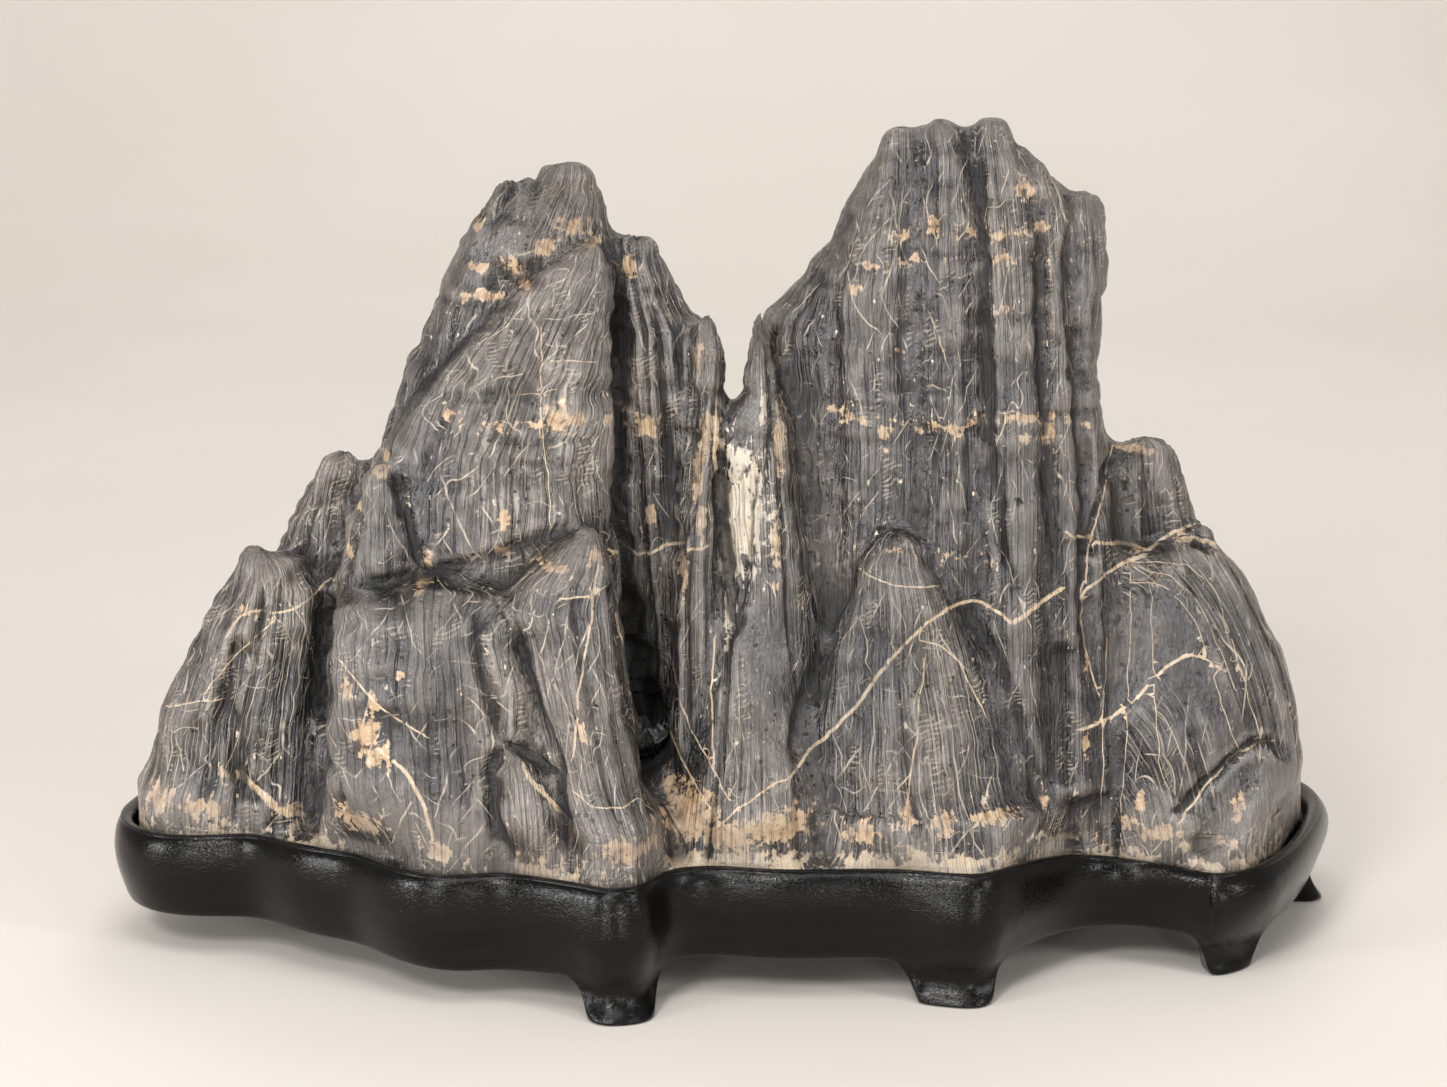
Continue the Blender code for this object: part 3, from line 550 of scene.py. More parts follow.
VEINS = [
    (0.9, [
        (20, 71), (32, 82), (43, 95), (55, 111), (64, 120), (73, 124), (82, 125), (88, 122),
        (92, 119),
    ]),
    (0.5, [(20, 71), (15, 70), (4, 63), (-4, 55)]),
    (1.2, [(93, 119), (101, 124), (109, 128)]),
    (0.8, [(111, 146), (115, 143), (121, 141), (130, 138), (137, 136)]),
    (0.8, [(116, 124), (120, 128), (130, 133), (139, 135), (148, 140), (155, 142)]),
    (1.2, [(150, 138), (157, 138), (163, 136)]),
    (0.9, [
        (116, 82), (124, 83), (131, 88), (138, 96), (144, 102), (152, 106), (157, 104), (162, 101),
    ]),
    (0.5, [(148, 51), (152, 56), (165, 71), (175, 75), (181, 75)]),
    (0.8, [(-38, 140), (-34, 137), (-29, 135), (-25, 136), (-21, 139), (-7, 142)]),
    (0.6, [(-41, 141), (-43, 128), (-46, 110), (-48, 92), (-49, 83)]),
    (0.5, [(-53, 132), (-47, 132), (-38, 135)]),
    (0.35, [(-49, 73), (-43, 69), (-35, 68), (-29, 69)]),
    (0.6, [(-166, 107), (-162, 114), (-157, 117), (-146, 116), (-138, 120), (-131, 125)]),
    (0.4, [(-174, 88), (-166, 98), (-158, 106), (-149, 114)]),
    (0.4, [(-188, 82), (-175, 87), (-167, 87)]),
    (0.4, [(44, 135), (50, 133), (55, 132), (67, 131)]),
    (0.35, [(61, 115), (69, 113), (76, 106), (84, 90)]),
    (0.45, [(64, 109), (62, 90), (59, 71), (58, 61)]),
    (0.5, [(-124, 111), (-118, 105), (-113, 100), (-107, 95), (-96, 89)]),
    (1.0, [(-111, 84), (-106, 81), (-101, 75), (-96, 66), (-94, 55)]),
    (0.9, [(-65, 80), (-60, 73), (-53, 65)]),
    (2.2, [(-162, 62), (-154, 56), (-145, 49)]),
    (0.22, [(139, 126), (140, 94), (142, 70), (146, 59)]),
    (0.22, [(133, 129), (132, 94), (130, 53)]),
    (0.25, [(125, 109), (124, 90), (123, 50)]),
    (0.25, [(131, 130), (146, 130), (155, 122), (167, 94)]),
    (0.25, [(129, 127), (144, 127), (154, 116), (162, 91), (169, 71)]),
    (0.25, [(135, 133), (151, 133), (161, 125), (170, 96), (176, 77)]),
    (0.5, [(129, 168), (124, 154), (119, 141), (116, 124), (117, 108), (123, 90)]),
    (0.25, [(-60, 212), (-60, 184), (-58, 165), (-57, 150)]),
    (0.25, [(-58, 202), (-49, 202), (-43, 201)]),
    (0.25, [(-67, 191), (-58, 192), (-56, 193)]),
    (1.0, [(-3, 189), (-4, 173), (-3, 157)]),
    (0.5, [(-36, 123), (-33, 109), (-31, 91), (-28, 77)]),
    (0.5, [(-4, 113), (-5, 94), (-4, 73)]),
    (0.5, [(-22, 93), (-18, 79), (-9, 66), (-3, 59)]),
    (0.35, [(-19, 103), (-12, 84), (1, 65)]),
]
CRACKS = [
    [(-22, 63), (-18, 57), (-14, 51), (-13, 47)],
    [(-51, 63), (-43, 69), (-42, 71)],
    [(-72, 87), (-60, 82), (-53, 77), (-51, 65), (-51, 50)],
    [(-112, 124), (-107, 119), (-104, 115)],
    [(-115, 164), (-108, 165), (-103, 154), (-98, 137)],
    [(14, 210), (15, 203), (14, 191), (14, 176)],
    [(153, 141), (156, 139), (162, 138)],
    [(-135, 103), (-135, 87), (-136, 74)],
    [(80, 254), (85, 253)],
]
BANDS = [
    (0.44, [
        (31, 185), (41, 183), (53, 182), (66, 180), (76, 182), (89, 183), (98, 184), (108, 182),
        (120, 179),
    ]),
    (0.42, [(49, 241), (56, 242), (69, 243), (77, 241), (92, 243), (105, 243)]),
    (0.36, [(42, 228), (50, 232), (66, 234), (85, 233), (101, 234)]),
    (0.45, [(-91, 185), (-80, 182), (-64, 181), (-48, 183), (-35, 182)]),
    (0.35, [(43, 142), (64, 141), (77, 140), (86, 138)]),
]
TAN_PATCHES = [
    (-50, 243, 5.9, 3.1), (-59, 237, 3.3, 3.4), (-44, 238, 3.0, 1.4), (-79, 221, 7.9, 1.7),
    (-82, 230, 4.6, 1.7), (-70, 232, 4.0, 3.1), (-69, 228, 4.6, 1.4), (-65, 225, 2.6, 2.0),
    (-81, 243, 1.7, 2.0), (-74, 181, 2.0, 3.4), (-55, 183, 4.6, 5.1), (-48, 184, 3.0, 2.4),
    (-36, 183, 2.3, 1.7), (-90, 185, 2.0, 2.0), (-112, 168, 3.3, 2.4), (-72, 152, 1.3, 4.8),
    (-73, 142, 3.0, 2.0), (-97, 139, 1.7, 3.4), (-98, 133, 2.6, 2.0), (-55, 141, 7.3, 1.4),
    (-42, 144, 2.6, 2.4), (-25, 148, 2.0, 4.8), (-26, 178, 5.3, 4.1), (-32, 230, 2.6, 3.4),
    (-9, 202, 1.7, 6.1), (-9, 164, 2.0, 10.2), (-3, 179, 1.3, 8.5), (-14, 133, 1.7, 7.5),
    (95, 256, 1.7, 3.4), (98, 255, 2.0, 2.7), (67, 245, 1.7, 2.7), (79, 243, 1.7, 1.7),
    (56, 241, 4.6, 1.4), (46, 232, 2.6, 2.0), (41, 224, 4.6, 1.4), (89, 235, 3.0, 1.4),
    (90, 219, 2.6, 1.0), (89, 242, 4.0, 1.4), (102, 244, 2.6, 2.0), (41, 183, 4.6, 1.4),
    (51, 178, 2.0, 4.1), (63, 180, 2.0, 1.0), (74, 180, 1.7, 4.8), (79, 182, 2.0, 1.4),
    (95, 184, 5.0, 1.7), (105, 179, 2.3, 5.1), (96, 178, 1.7, 1.7), (55, 204, 2.0, 0.7),
    (-7, 177, 2.0, 9.5), (-8, 151, 1.7, 8.2), (17, 175, 1.7, 14.3), (16, 141, 1.3, 12.9),
    (11, 218, 1.7, 4.8), (-123, 103, 2.0, 4.1), (-116, 89, 4.6, 6.8), (-111, 82, 3.6, 3.7),
    (-113, 99, 2.0, 2.7), (-92, 52, 7.3, 2.7), (-46, 91, 1.3, 3.4), (-28, 84, 1.0, 2.7),
    (-12, 59, 11.2, 10.2), (1, 54, 11.2, 6.1), (-31, 55, 9.9, 4.1), (-50, 58, 1.3, 4.8),
    (-104, 108, 1.7, 1.4), (58, 60, 2.3, 4.4), (70, 58, 4.6, 3.7), (87, 59, 8.6, 2.4),
    (104, 60, 1.3, 3.4), (110, 46, 5.9, 2.0), (17, 57, 11.6, 6.1), (44, 54, 6.6, 4.1),
    (118, 102, 0.8, 5.4), (118, 77, 1.3, 4.1), (86, 128, 1.2, 0.7), (136, 166, 6.6, 1.4),
    (142, 48, 9.2, 3.4), (133, 51, 3.3, 2.7), (136, 58, 1.3, 4.8), (168, 56, 2.0, 4.4),
    (181, 49, 4.6, 3.4), (-188, 53, 5.9, 4.8), (-174, 51, 8.6, 4.1), (-167, 62, 1.3, 4.1),
    (-159, 117, 3.0, 2.0), (-123, 140, 1.3, 2.4), (-119, 155, 1.3, 2.0), (-122, 102, 2.0, 3.1),
    (-119, 58, 8.6, 4.4), (-145, 50, 5.3, 2.7), (158, 44, 9.9, 2.7), (-84, 220, 2.6, 1.0),
]
CALCITE_PATCHES = [
    (5, 154, 8.2, 20.4), (1, 139, 3.6, 12.9), (4, 169, 4.3, 6.1), (1, 121, 2.0, 11.6),
    (12, 186, 1.0, 6.8), (6, 163, 3.3, 4.8), (108, 44, 7.3, 1.7), (101, 49, 4.0, 1.4),
]
PAINTED_SHADE_PATCHES = [
    (48, 99, 19.8, 30.6), (-61, 247, 18.5, 11.6), (152, 122, 23.1, 17.0), (5, 186, 3.3, 7.5),
    (-29, 134, 4.0, 20.4), (-29, 101, 3.6, 20.4), (-25, 79, 4.0, 13.6), (136, 116, 11.2, 11.6),
    (53, 261, 7.9, 15.6), (-128, 100, 2.6, 13.6), (4, 185, 2.6, 5.4), (131, 151, 3.3, 13.6),
    (35, 97, 4.6, 20.4), (-25, 70, 4.6, 14.3),
]
counts = (len(CREASES), len(RIDGES), len(VEINS), len(CRACKS), len(BANDS))
print("creases, ridges, veins, cracks and bands:", counts)


# %% [markdown]
# To cut a crease, each point of the skin is compared with each stretch of the line: the nearest
# place on it gives a distance, and a side. The side is kept as a sign, so that a thin vein can be
# drawn sharply later, where the signed distance passes through zero between two points of the skin.

# %% Measure from a line of points
REACH_OF_A_MARK = 9.0
FAR_AWAY = 1000.0
WAVE_HEIGHT = 1.2
WAVE_LENGTH = 5.0
WAVE_STEP = 3.0


def from_line(points, line):
    """Distance to the line seen from the front, with its side as a sign, and the way along it."""
    corners = np.array(line, dtype=float)
    seen = points[:, [0, 2]]
    near = seen > corners.min(axis=0) - REACH_OF_A_MARK
    near &= seen < corners.max(axis=0) + REACH_OF_A_MARK
    near = np.nonzero(near.all(axis=1))[0]
    seen = seen[near]
    nearest = np.full(len(near), np.inf)
    signed, along = np.zeros((2, len(near)))
    walked = 0.0
    for start, end in zip(corners, corners[1:]):
        stretch = end - start
        length = np.hypot(*stretch)
        share = np.clip(((seen - start) @ stretch) / length**2, 0.0, 1.0)
        gap = seen - start - share[:, None] * stretch
        away = np.hypot(gap[:, 0], gap[:, 1])
        side = np.sign(stretch[0] * gap[:, 1] - stretch[1] * gap[:, 0])
        nearer = away < nearest
        nearest[nearer] = away[nearer]
        signed[nearer] = (np.where(side == 0.0, 1.0, side) * away)[nearer]
        along[nearer] = (walked + share * length)[nearer]
        walked += length
    whole = np.full((3, len(points)), FAR_AWAY)
    whole[:, near] = nearest, signed, along / walked
    return whole


def wavy(line):
    """The same line with more points, which waver a little as a natural seam does."""
    corners = np.array(line, dtype=float)
    length = np.concatenate([[0.0], np.cumsum(np.hypot(*np.diff(corners, axis=0).T))])
    places = np.linspace(0.0, length[-1], max(3, int(length[-1] / WAVE_STEP)))
    fine = np.stack([np.interp(places, length, corners[:, axis]) for axis in (0, 1)], axis=1)
    waver = [noise.noise((x / WAVE_LENGTH, z / WAVE_LENGTH, 3.0)) for x, z in fine.tolist()]
    fine[1:-1, 0] += WAVE_HEIGHT * np.array(waver)[1:-1]
    return fine


print("the first vein wavers through", len(wavy(VEINS[0][1])), "points")


# %% [markdown]
# The skin isn't the same everywhere. Each form has a share of fine upright ribs and a share of fine
# lines, both from 0 to 1. A form that isn't named has all the ribs and some of the lines. A few
# notches part the tips of the columns: each has its X, the height where it ends, its half width and
# how far the skin sinks there.

# %% How the forms differ
SKINS = {
    "left tower": (0.3, 0.15), "left slab": (0.15, 0.2), "left shoulder": (1.0, 0.5),
    "left blade": (1.0, 0.8), "left spur": (0.15, 0.2), "left block": (0.1, 0.1),
    "block lobe": (0.2, 0.2), "front pinnacle": (0.25, 0.35), "left hill": (0.5, 0.9),
    "right spire": (0.4, 0.4), "black fin": (0.0, 0.0), "right tower": (0.15, 0.3),
    "column one": (0.15, 0.1), "column two": (0.15, 0.1), "column three": (0.15, 0.15),
    "column four": (0.2, 0.2), "column five": (0.2, 0.1), "right dome": (0.35, 0.9),
    "right foot dome": (0.35, 0.9), "right dome belly": (0.35, 0.9), "front dome": (0.3, 1.0),
    "middle foot": (0.6, 1.0),
}
PLAIN_SKIN = (1.0, 0.4)
NOTCHES = [
    (66.0, 262.0, 1.6, 0.8), (95.0, 252.0, 1.8, 1.5), (105.5, 232.0, 1.8, 2.0),
    (-62.5, 246.0, 1.8, 2.5),
]
skins = np.array([SKINS.get(name, PLAIN_SKIN) for name in STONE_FORMS])
print("forms with a skin of their own:", len(SKINS), "and notches:", len(NOTCHES))


# %% [markdown]
# Now the skin is worn. Every point moves a little along the way it faces: in for flutes, creases
# and pits, out for ridges. Marks seen from the front only touch what faces the front. The flutes
# and ribs follow the grain, the lumps don't, and level steps cross both peaks as beds of the rock.

# %% Wear the flutes, creases and ridges into the skin
CREASE_STRENGTH = 1.7
RIDGE_SPREAD = 1.3
RIB_DEPTH, FINE_RIB_DEPTH = 2.0, 0.8
RIB_SIZE, FINE_RIB_SIZE = np.array([7.0, 130.0, 1.0]), np.array([3.0, 70.0, 1.0])
LUMPS = [(1.6, 19.0, 9.0), (0.6, 8.0, 2.0), (0.3, 3.6, 6.0)]  # depth, size and seed
BED_DEPTH, BED_SIZE = 1.3, np.array([45.0, 45.0, 4.6])
KNUCKLE_SIZE = np.array([9.0, 9.0, 7.0])


def mark_on(points, line, width, fade_length):
    """How strongly a line marks each point: its fading ends, and its section of this width."""
    away, _, along = from_line(points, wavy(line))
    ends = ease(along, -0.02, fade_length) * ease(1.0 - along, -0.02, fade_length)
    return ends, bell(away, 0.0, width)


def worn_depth(points, facing):
    """How far each point of the skin goes in, in millimetres."""
    front = ease(-facing[:, 1], -0.15, 0.35)
    grain = along_the_grain(points)
    which, _, _, inside, _ = grain_of(points)
    ribbed = skins[which, 0]
    depth = flutes(points) * ease(ribbed, -0.3, 0.7)
    ribbed *= 0.35 + 0.65 * inside
    ribs = RIB_DEPTH * (0.4 - 1.6 * abs(lumps(grain, RIB_SIZE)))
    depth += ribbed * (ribs + FINE_RIB_DEPTH * lumps(grain, FINE_RIB_SIZE, 5.0))
    for deep, size, seed in LUMPS:
        depth += deep * lumps(points, size, seed)
    on_the_towers = ease(points[:, 2], 120.0, 180.0)
    beds = lumps(points, BED_SIZE, 4.0)
    depth += BED_DEPTH * np.clip(beds - 0.05, 0.0, 1.0) * on_the_towers
    knuckles = lumps(points, KNUCKLE_SIZE, 12.0)
    on_the_peaks = ease(points[:, 2], 195.0, 240.0)
    on_the_hill = ease(-points[:, 0], 95.0, 115.0) * ease(points[:, 2], 85.0, 110.0)
    depth += 1.0 * knuckles * on_the_peaks + 1.8 * knuckles * on_the_hill
    for width, deep, line in CREASES:
        ends, section = mark_on(points, line, width, 0.12)
        depth += CREASE_STRENGTH * deep * ends * front * section
    for width, high, line in RIDGES:
        ends, section = mark_on(points, line, RIDGE_SPREAD * width, 0.15)
        depth -= high * ends * front * section
    return depth


points = points_of(stone)
facing = facing_of(stone)
for x, foot_height, half_width, drop in NOTCHES:
    at_the_tip = ease(points[:, 2], foot_height - 10.0, foot_height + 6.0)
    points[:, 2] -= drop * bell(points[:, 0], x, half_width) * at_the_tip
above_the_cut = ease(points[:, 2], FOOT_CUT - 3.0, FOOT_CUT + 6.0)
depth = worn_depth(points, facing) * above_the_cut
points -= facing * depth[:, None]
print("worn in by up to", round(depth.max(), 1), "and out by up to", round(-depth.min(), 1), "mm")


# %% [markdown]
# The stone has to stay clear of the stand's rim. The stand's hollow has a wall, whose lowest ring
# of points lies on the seat. Seen from above, that ring is a closed line that never doubles back
# round the middle, so its points are put in order by their bearing. A point of the stone that lies
# outside it is drawn in to it, fully at the rim and less and less above.

# %% Keep the stone off the rim
SEAT_HEIGHT = 32.0
EVEN = 0.05  # heights that differ by less are the same
POINT_GAP = 0.3
WALL_CLEARANCE = 0.5
DRAWN_IN = (46.0, 70.0)

stand_points = points_of(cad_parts["stand"])
ring = stand_points[abs(stand_points[:, 2] - SEAT_HEIGHT) < EVEN][:, :2]
ring = ring[np.argsort(np.arctan2(ring[:, 1], ring[:, 0]))]
ring = ring[np.concatenate([[True], np.hypot(*np.diff(ring, axis=0).T) > POINT_GAP])]


def draw_in(points):
    """Move points that lie outside the hollow's wall in to it, near the rim."""
    hold = 1.0 - ease(points[:, 2], *DRAWN_IN)
    moved = points.copy()
    stretch = np.roll(ring, -1, axis=0) - ring
    length = np.hypot(stretch[:, 0], stretch[:, 1])
    outward = np.stack([stretch[:, 1], -stretch[:, 0]], axis=1) / length[:, None]
    for index in np.nonzero(hold > 0.0)[0]:
        gap = points[index, :2] - ring
        share = np.clip((gap * stretch).sum(axis=1) / length**2, 0.0, 1.0)
        gap -= share[:, None] * stretch
        nearest = np.argmin((gap**2).sum(axis=1))
        outside = (gap[nearest] * outward[nearest]).sum() + WALL_CLEARANCE
        if outside > 0.0:
            moved[index, :2] -= outward[nearest] * outside * hold[index]
    return moved


low, high = np.array(stone_low) / MM, np.array(stone_high) / MM
set_points(stone, np.clip(draw_in(points), low, high))
print("stone inside", low.round(1), "to", high.round(1), "mm")


# %% [markdown]
# The skin is much finer than its flat parts need, such as the sole. Decimate takes faces away where
# the surface is even and leaves them where it bends, so the ridges keep their points.

# %% Thin out the faces
MOST_TRIANGLES = 185000


def triangles_of(thing):
    """How many triangles the piece's faces make."""
    return sum(len(face.vertices) - 2 for face in thing.data.polygons)


before = triangles_of(stone)
if before > MOST_TRIANGLES:
    finish_with(stone, "DECIMATE", "fewer faces", ratio=MOST_TRIANGLES / before)
take_up(stone)
bpy.ops.object.shade_smooth()
print("from", before, "triangles to", triangles_of(stone))


# %% [markdown]
# The colours follow the shape and the marks, so what the material needs is kept on the points, as
# attributes: the grain, the nearest vein and crack, and how strongly the tan, the white and the
# painted shade lie there. A stain is soft here. The material breaks its edge up with noise. The
# slot beside the front pinnacle, where no light falls, gets painted shade deeper in than stains go.

# %% Keep the marks on the points
CRACK_WIDTH = 0.6
BAND_WIDTH = 2.2
STAIN_FALL = 0.9
BEHIND_THE_FRONT = 50.0  # a seam counts as so many millimetres further off on a hidden side
# The slot's painted shade: its middle X and height and half sizes, the depths where it fades in,
# and where it stops behind.
SLOT = (-24.5, 75.0, 12.0, 38.0)
SLOT_FRONT, SLOT_BACK = (-34.0, -22.0), 20.0


def keep_on_points(thing, name, rows):
    """Store three numbers, or one, for each point of the piece."""
    rows = np.asarray(rows, dtype=np.float32)
    kind = "FLOAT_VECTOR" if rows.ndim == 2 else "FLOAT"
    field = "vector" if rows.ndim == 2 else "value"
    thing.data.attributes.new(name, kind, "POINT").data.foreach_set(field, rows.ravel())


def nearest_seam(points, front, seams):
    """Of the nearest seam, the signed distance over half of its width and the plain distance."""
    found = np.zeros((len(points), 3))
    found[:, :2] = FAR_AWAY
    for width, line in seams:
        away, signed, _ = from_line(points, wavy(line))
        away += BEHIND_THE_FRONT * (1.0 - front)
        nearer = away < found[:, 1]
        found[nearer, 0] = (signed / (width / 2.0))[nearer]
        found[nearer, 1] = away[nearer]
    return found


def stain_or_shade(points, x, z, half_width, half_height):
    """How strongly a patch of stain or of painted shade lies on each point: 1 in its middle, 0.4 at
    its edge.
    """
    away = ((points[:, 0] - x) / half_width) ** 2 + ((points[:, 2] - z) / half_height) ** 2
    return np.exp(-STAIN_FALL * away)


def stains_or_shade(points, front, patches):
    """The strongest of these patches, of stain or of painted shade, on each point that faces the
    front.
    """
    return np.max([stain_or_shade(points, *patch) for patch in patches], axis=0) * front


points = points_of(stone)
front = ease(-facing_of(stone)[:, 1], -0.1, 0.25)
which, _, _, inside, _ = grain_of(points)
keep_on_points(stone, "grain", along_the_grain(points))
keep_on_points(stone, "inside", ease(inside, 0.1, 0.6))
keep_on_points(stone, "lined", skins[which, 1] + 0.9 * ease(points[:, 2], 222.0, 250.0))
keep_on_points(stone, "vein", nearest_seam(points, front, VEINS))
cracks = [(CRACK_WIDTH, line) for line in CRACKS]
keep_on_points(stone, "crack", nearest_seam(points, front, cracks))
tan = stains_or_shade(points, front, TAN_PATCHES)
for strength, line in BANDS:
    away, _, _ = from_line(points, wavy(line))
    tan = np.maximum(tan, strength * bell(away, 0.0, BAND_WIDTH) * front)
keep_on_points(stone, "tan", tan)
keep_on_points(stone, "white", stains_or_shade(points, front, CALCITE_PATCHES))
# Painted shade: the dark patches, and the slot beside the pinnacle, which is painted almost black.
in_slot = stain_or_shade(points, *SLOT) * ease(points[:, 1], *SLOT_FRONT) * (points[:, 1] < SLOT_BACK)
keep_on_points(stone, "shade", stains_or_shade(points, front, PAINTED_SHADE_PATCHES) + 2.4 * in_slot)
print("points with tan:", int((tan > 0.4).sum()), "of", len(points))


# %% [markdown]
# The creases and the wide valleys get painted shade and the ridges painted light, so that the forms
# read more strongly. To find both, a copy of the skin is smoothed strongly. Where the real skin
# lies below the smooth one there is a hollow, and above it a ridge. Little smoothing finds the fine
# creases, and much of it finds the wide valleys.

# %% Find the hollows and the ridges
SMOOTHING_ROUNDS = (6, 40, 200)


def hollow_of(thing, rounds):
    """How far each point lies below the smoothed skin, in millimetres."""
    smooth = thing.copy()
    smooth.data = thing.data.copy()
    bpy.context.scene.collection.objects.link(smooth)
    finish_with(smooth, "SMOOTH", "even out", factor=0.5, iterations=rounds)
    below = ((points_of(smooth) - points_of(thing)) * facing_of(thing)).sum(axis=1)
    bpy.data.objects.remove(smooth, do_unlink=True)
    return below


hollows = [hollow_of(stone, rounds) for rounds in SMOOTHING_ROUNDS]
keep_on_points(stone, "hollow", np.stack(hollows, axis=1))
print("attributes:", sorted(stone.data.attributes.keys()))


# %% [markdown]
# A material is a network of nodes. Written node by node it is long and hard to read, so a socket is
# wrapped in a small class that can be added, multiplied and compared like a number. Each sign puts
# one Math node in the network.

# %% Reckon with the sockets of a material
class Tone:
    """One output of a node, which can be reckoned with like a number."""

    def __init__(self, tree, socket):
        self.tree = tree
        self.socket = socket

    def node(self, kind, settings=(), inputs=(), output=0):
        """Add a node with these settings and inputs, and give back one of its outputs."""
        made = self.tree.nodes.new(kind)
        for name, value in dict(settings).items():
            setattr(made, name, value)
        for name, value in dict(inputs).items():
            if isinstance(value, Tone):
                self.tree.links.new(value.socket, made.inputs[name])
            else:
                made.inputs[name].default_value = value
        return Tone(self.tree, made.outputs[output])

    def reckon(self, operation, *values):
        return self.node("ShaderNodeMath", {"operation": operation}, enumerate(values))

    def reckon_place(self, operation, *values):
        return self.node("ShaderNodeVectorMath", {"operation": operation}, enumerate(values))

    def __add__(self, other):
        return self.reckon("ADD", self, other)

    def __radd__(self, other):
        return self.reckon("ADD", other, self)

    def __sub__(self, other):
        return self.reckon("SUBTRACT", self, other)

    def __rsub__(self, other):
        return self.reckon("SUBTRACT", other, self)

    def __mul__(self, other):
        return self.reckon("MULTIPLY", self, other)

    def __truediv__(self, other):
        return self.reckon("DIVIDE", self, other)

    def __abs__(self):
        return self.reckon("ABSOLUTE", self)

    def high(self, other):
        return self.reckon("MAXIMUM", self, other)

    def rise(self, start, end):
        """0 up to the start, 1 from the end, smooth in between. The end may be the lower one."""
        if start > end:
            return 1.0 - self.rise(end, start)
        ramp = {"From Min": start, "From Max": end, "To Min": 0.0, "To Max": 1.0}
        smooth = {"interpolation_type": "SMOOTHSTEP"}
        return self.node("ShaderNodeMapRange", smooth, {"Value": self, **ramp})

    def part(self, axis):
        """One of the three numbers of a place."""
        return self.node("ShaderNodeSeparateXYZ", (), {0: self}, output="XYZ".index(axis))

    def paint(self, under, over):
        """Lay a colour over another, as strongly as this value says."""
        colours = {0: self, 6: under, 7: over}
        return self.node("ShaderNodeMix", {"data_type": "RGBA"}, colours, output=2)

    def scaled(self, factor):
        """This place, measured in units that are so many times smaller."""
        return self.node(
            "ShaderNodeVectorMath", {"operation": "SCALE"}, {0: self, "Scale": factor}
        )

    def stretched(self, sizes):
        """This place, measured in lumps of so many units along its three axes."""
        return self.reckon_place("MULTIPLY", self, tuple(1.0 / size for size in sizes))

    def turned(self, degrees):
        """This place, turned in its own plane."""
        turn = {"Vector": self, "Angle": math.radians(degrees)}
        return self.node("ShaderNodeVectorRotate", {"rotation_type": "Z_AXIS"}, turn)

    def noise(self, sizes, detail=2.0, roughness=0.5, distortion=0.0, output=0):
        """Soft noise, mostly from 0.3 to 0.7, with lumps of those sizes at this place."""
        look = {"Scale": 1.0, "Detail": detail, "Roughness": roughness, "Distortion": distortion}
        look["Vector"] = self.stretched(sizes)
        return self.node("ShaderNodeTexNoise", (), look, output)

    def shards(self, sizes):
        """Distance to the nearest of scattered points, which gives angular patches."""
        look = {"Vector": self.stretched(sizes), "Scale": 1.0}
        return self.node("ShaderNodeTexVoronoi", {"feature": "F1"}, look)

    def bent(self, size, reach):
        """This place, pushed about by up to so many units, so that straight lines waver."""
        push = self.noise((size, size, size), output=1)
        push = self.reckon_place("SUBTRACT", push, (0.5, 0.5, 0.5)).scaled(2.0 * reach)
        return self.reckon_place("ADD", self, push)

    def threads(self, spacing, width, length, share):
        """Thin lines up the second axis, broken at random so that about this share is left."""
        sway = self.noise((spacing * 3.0, length * 1.5, 1.0), 1.0) * (spacing * 2.2)
        across = (self.part("X") + sway) / spacing
        off_middle = abs(self.reckon("FRACT", across) - 0.5) * spacing
        number = {"X": self.reckon("FLOOR", across) * 3.7, "Y": self.part("Y") / length}
        broken = self.node("ShaderNodeCombineXYZ", (), number).noise((1.0, 1.0, 1.0))
        kept = broken.rise(0.62 - 0.3 * share, 0.7 - 0.3 * share)
        return off_middle.rise(width * 0.75, width * 0.25) * kept


def new_material(name):
    """A new material, its Principled shader, and the place on the object as a Tone, in metres."""
    material = bpy.data.materials.new(name)
    material.use_nodes = True
    tree = material.node_tree
    place = Tone(tree, None).node("ShaderNodeTexCoord", output=3)
    return material, tree.nodes["Principled BSDF"], place


def feed(shader, name, value):
    """Lead a value into one of the shader's sockets."""
    value.tree.links.new(value.socket, shader.inputs[name])


def emboss(shader, relief, strength, distance):
    """Let the shader's surface look raised where the relief is high, by the distance in metres."""
    look = {"Strength": strength, "Distance": distance, "Height": relief}
    feed(shader, "Normal", relief.node("ShaderNodeBump", (), look))


def colour(red, green, blue):
    """A colour given as it looks on a screen, from 0 to 255, as the linear light it stands for."""
    def linear(value):
        value = value / 255.0
        return value / 12.92 if value <= 0.04045 else ((value + 0.055) / 1.055) ** 2.4
    return (linear(red), linear(green), linear(blue), 1.0)


print("a middle grey on a screen is", round(colour(128, 128, 128)[0], 3), "as light")


# %% [markdown]
# The limestone is dark grey, browner in some places and bluer in others, and streaked along the
# grain. The grey is reckoned from five noises of different sizes: where their sum is high the stone
# is pale, and where it is low the stone is nearly black.

# %% The grey ground of the limestone
COOL_GREY = colour(62, 60, 63)
WARM_GREY = colour(74, 66, 60)
PALE_GREY = colour(152, 145, 139)
DEEP_GREY = colour(22, 20, 20)
# Near black is the colour of the darkest stone and of the cracks, and also of the painted shade.
NEAR_BLACK_AND_SHADE = colour(13, 12, 12)


def kept(place, name, output=1):
    """What was stored on the points under this name: a place, or with output 2 a number."""
    return place.node("ShaderNodeAttribute", {"attribute_name": name}, output=output)


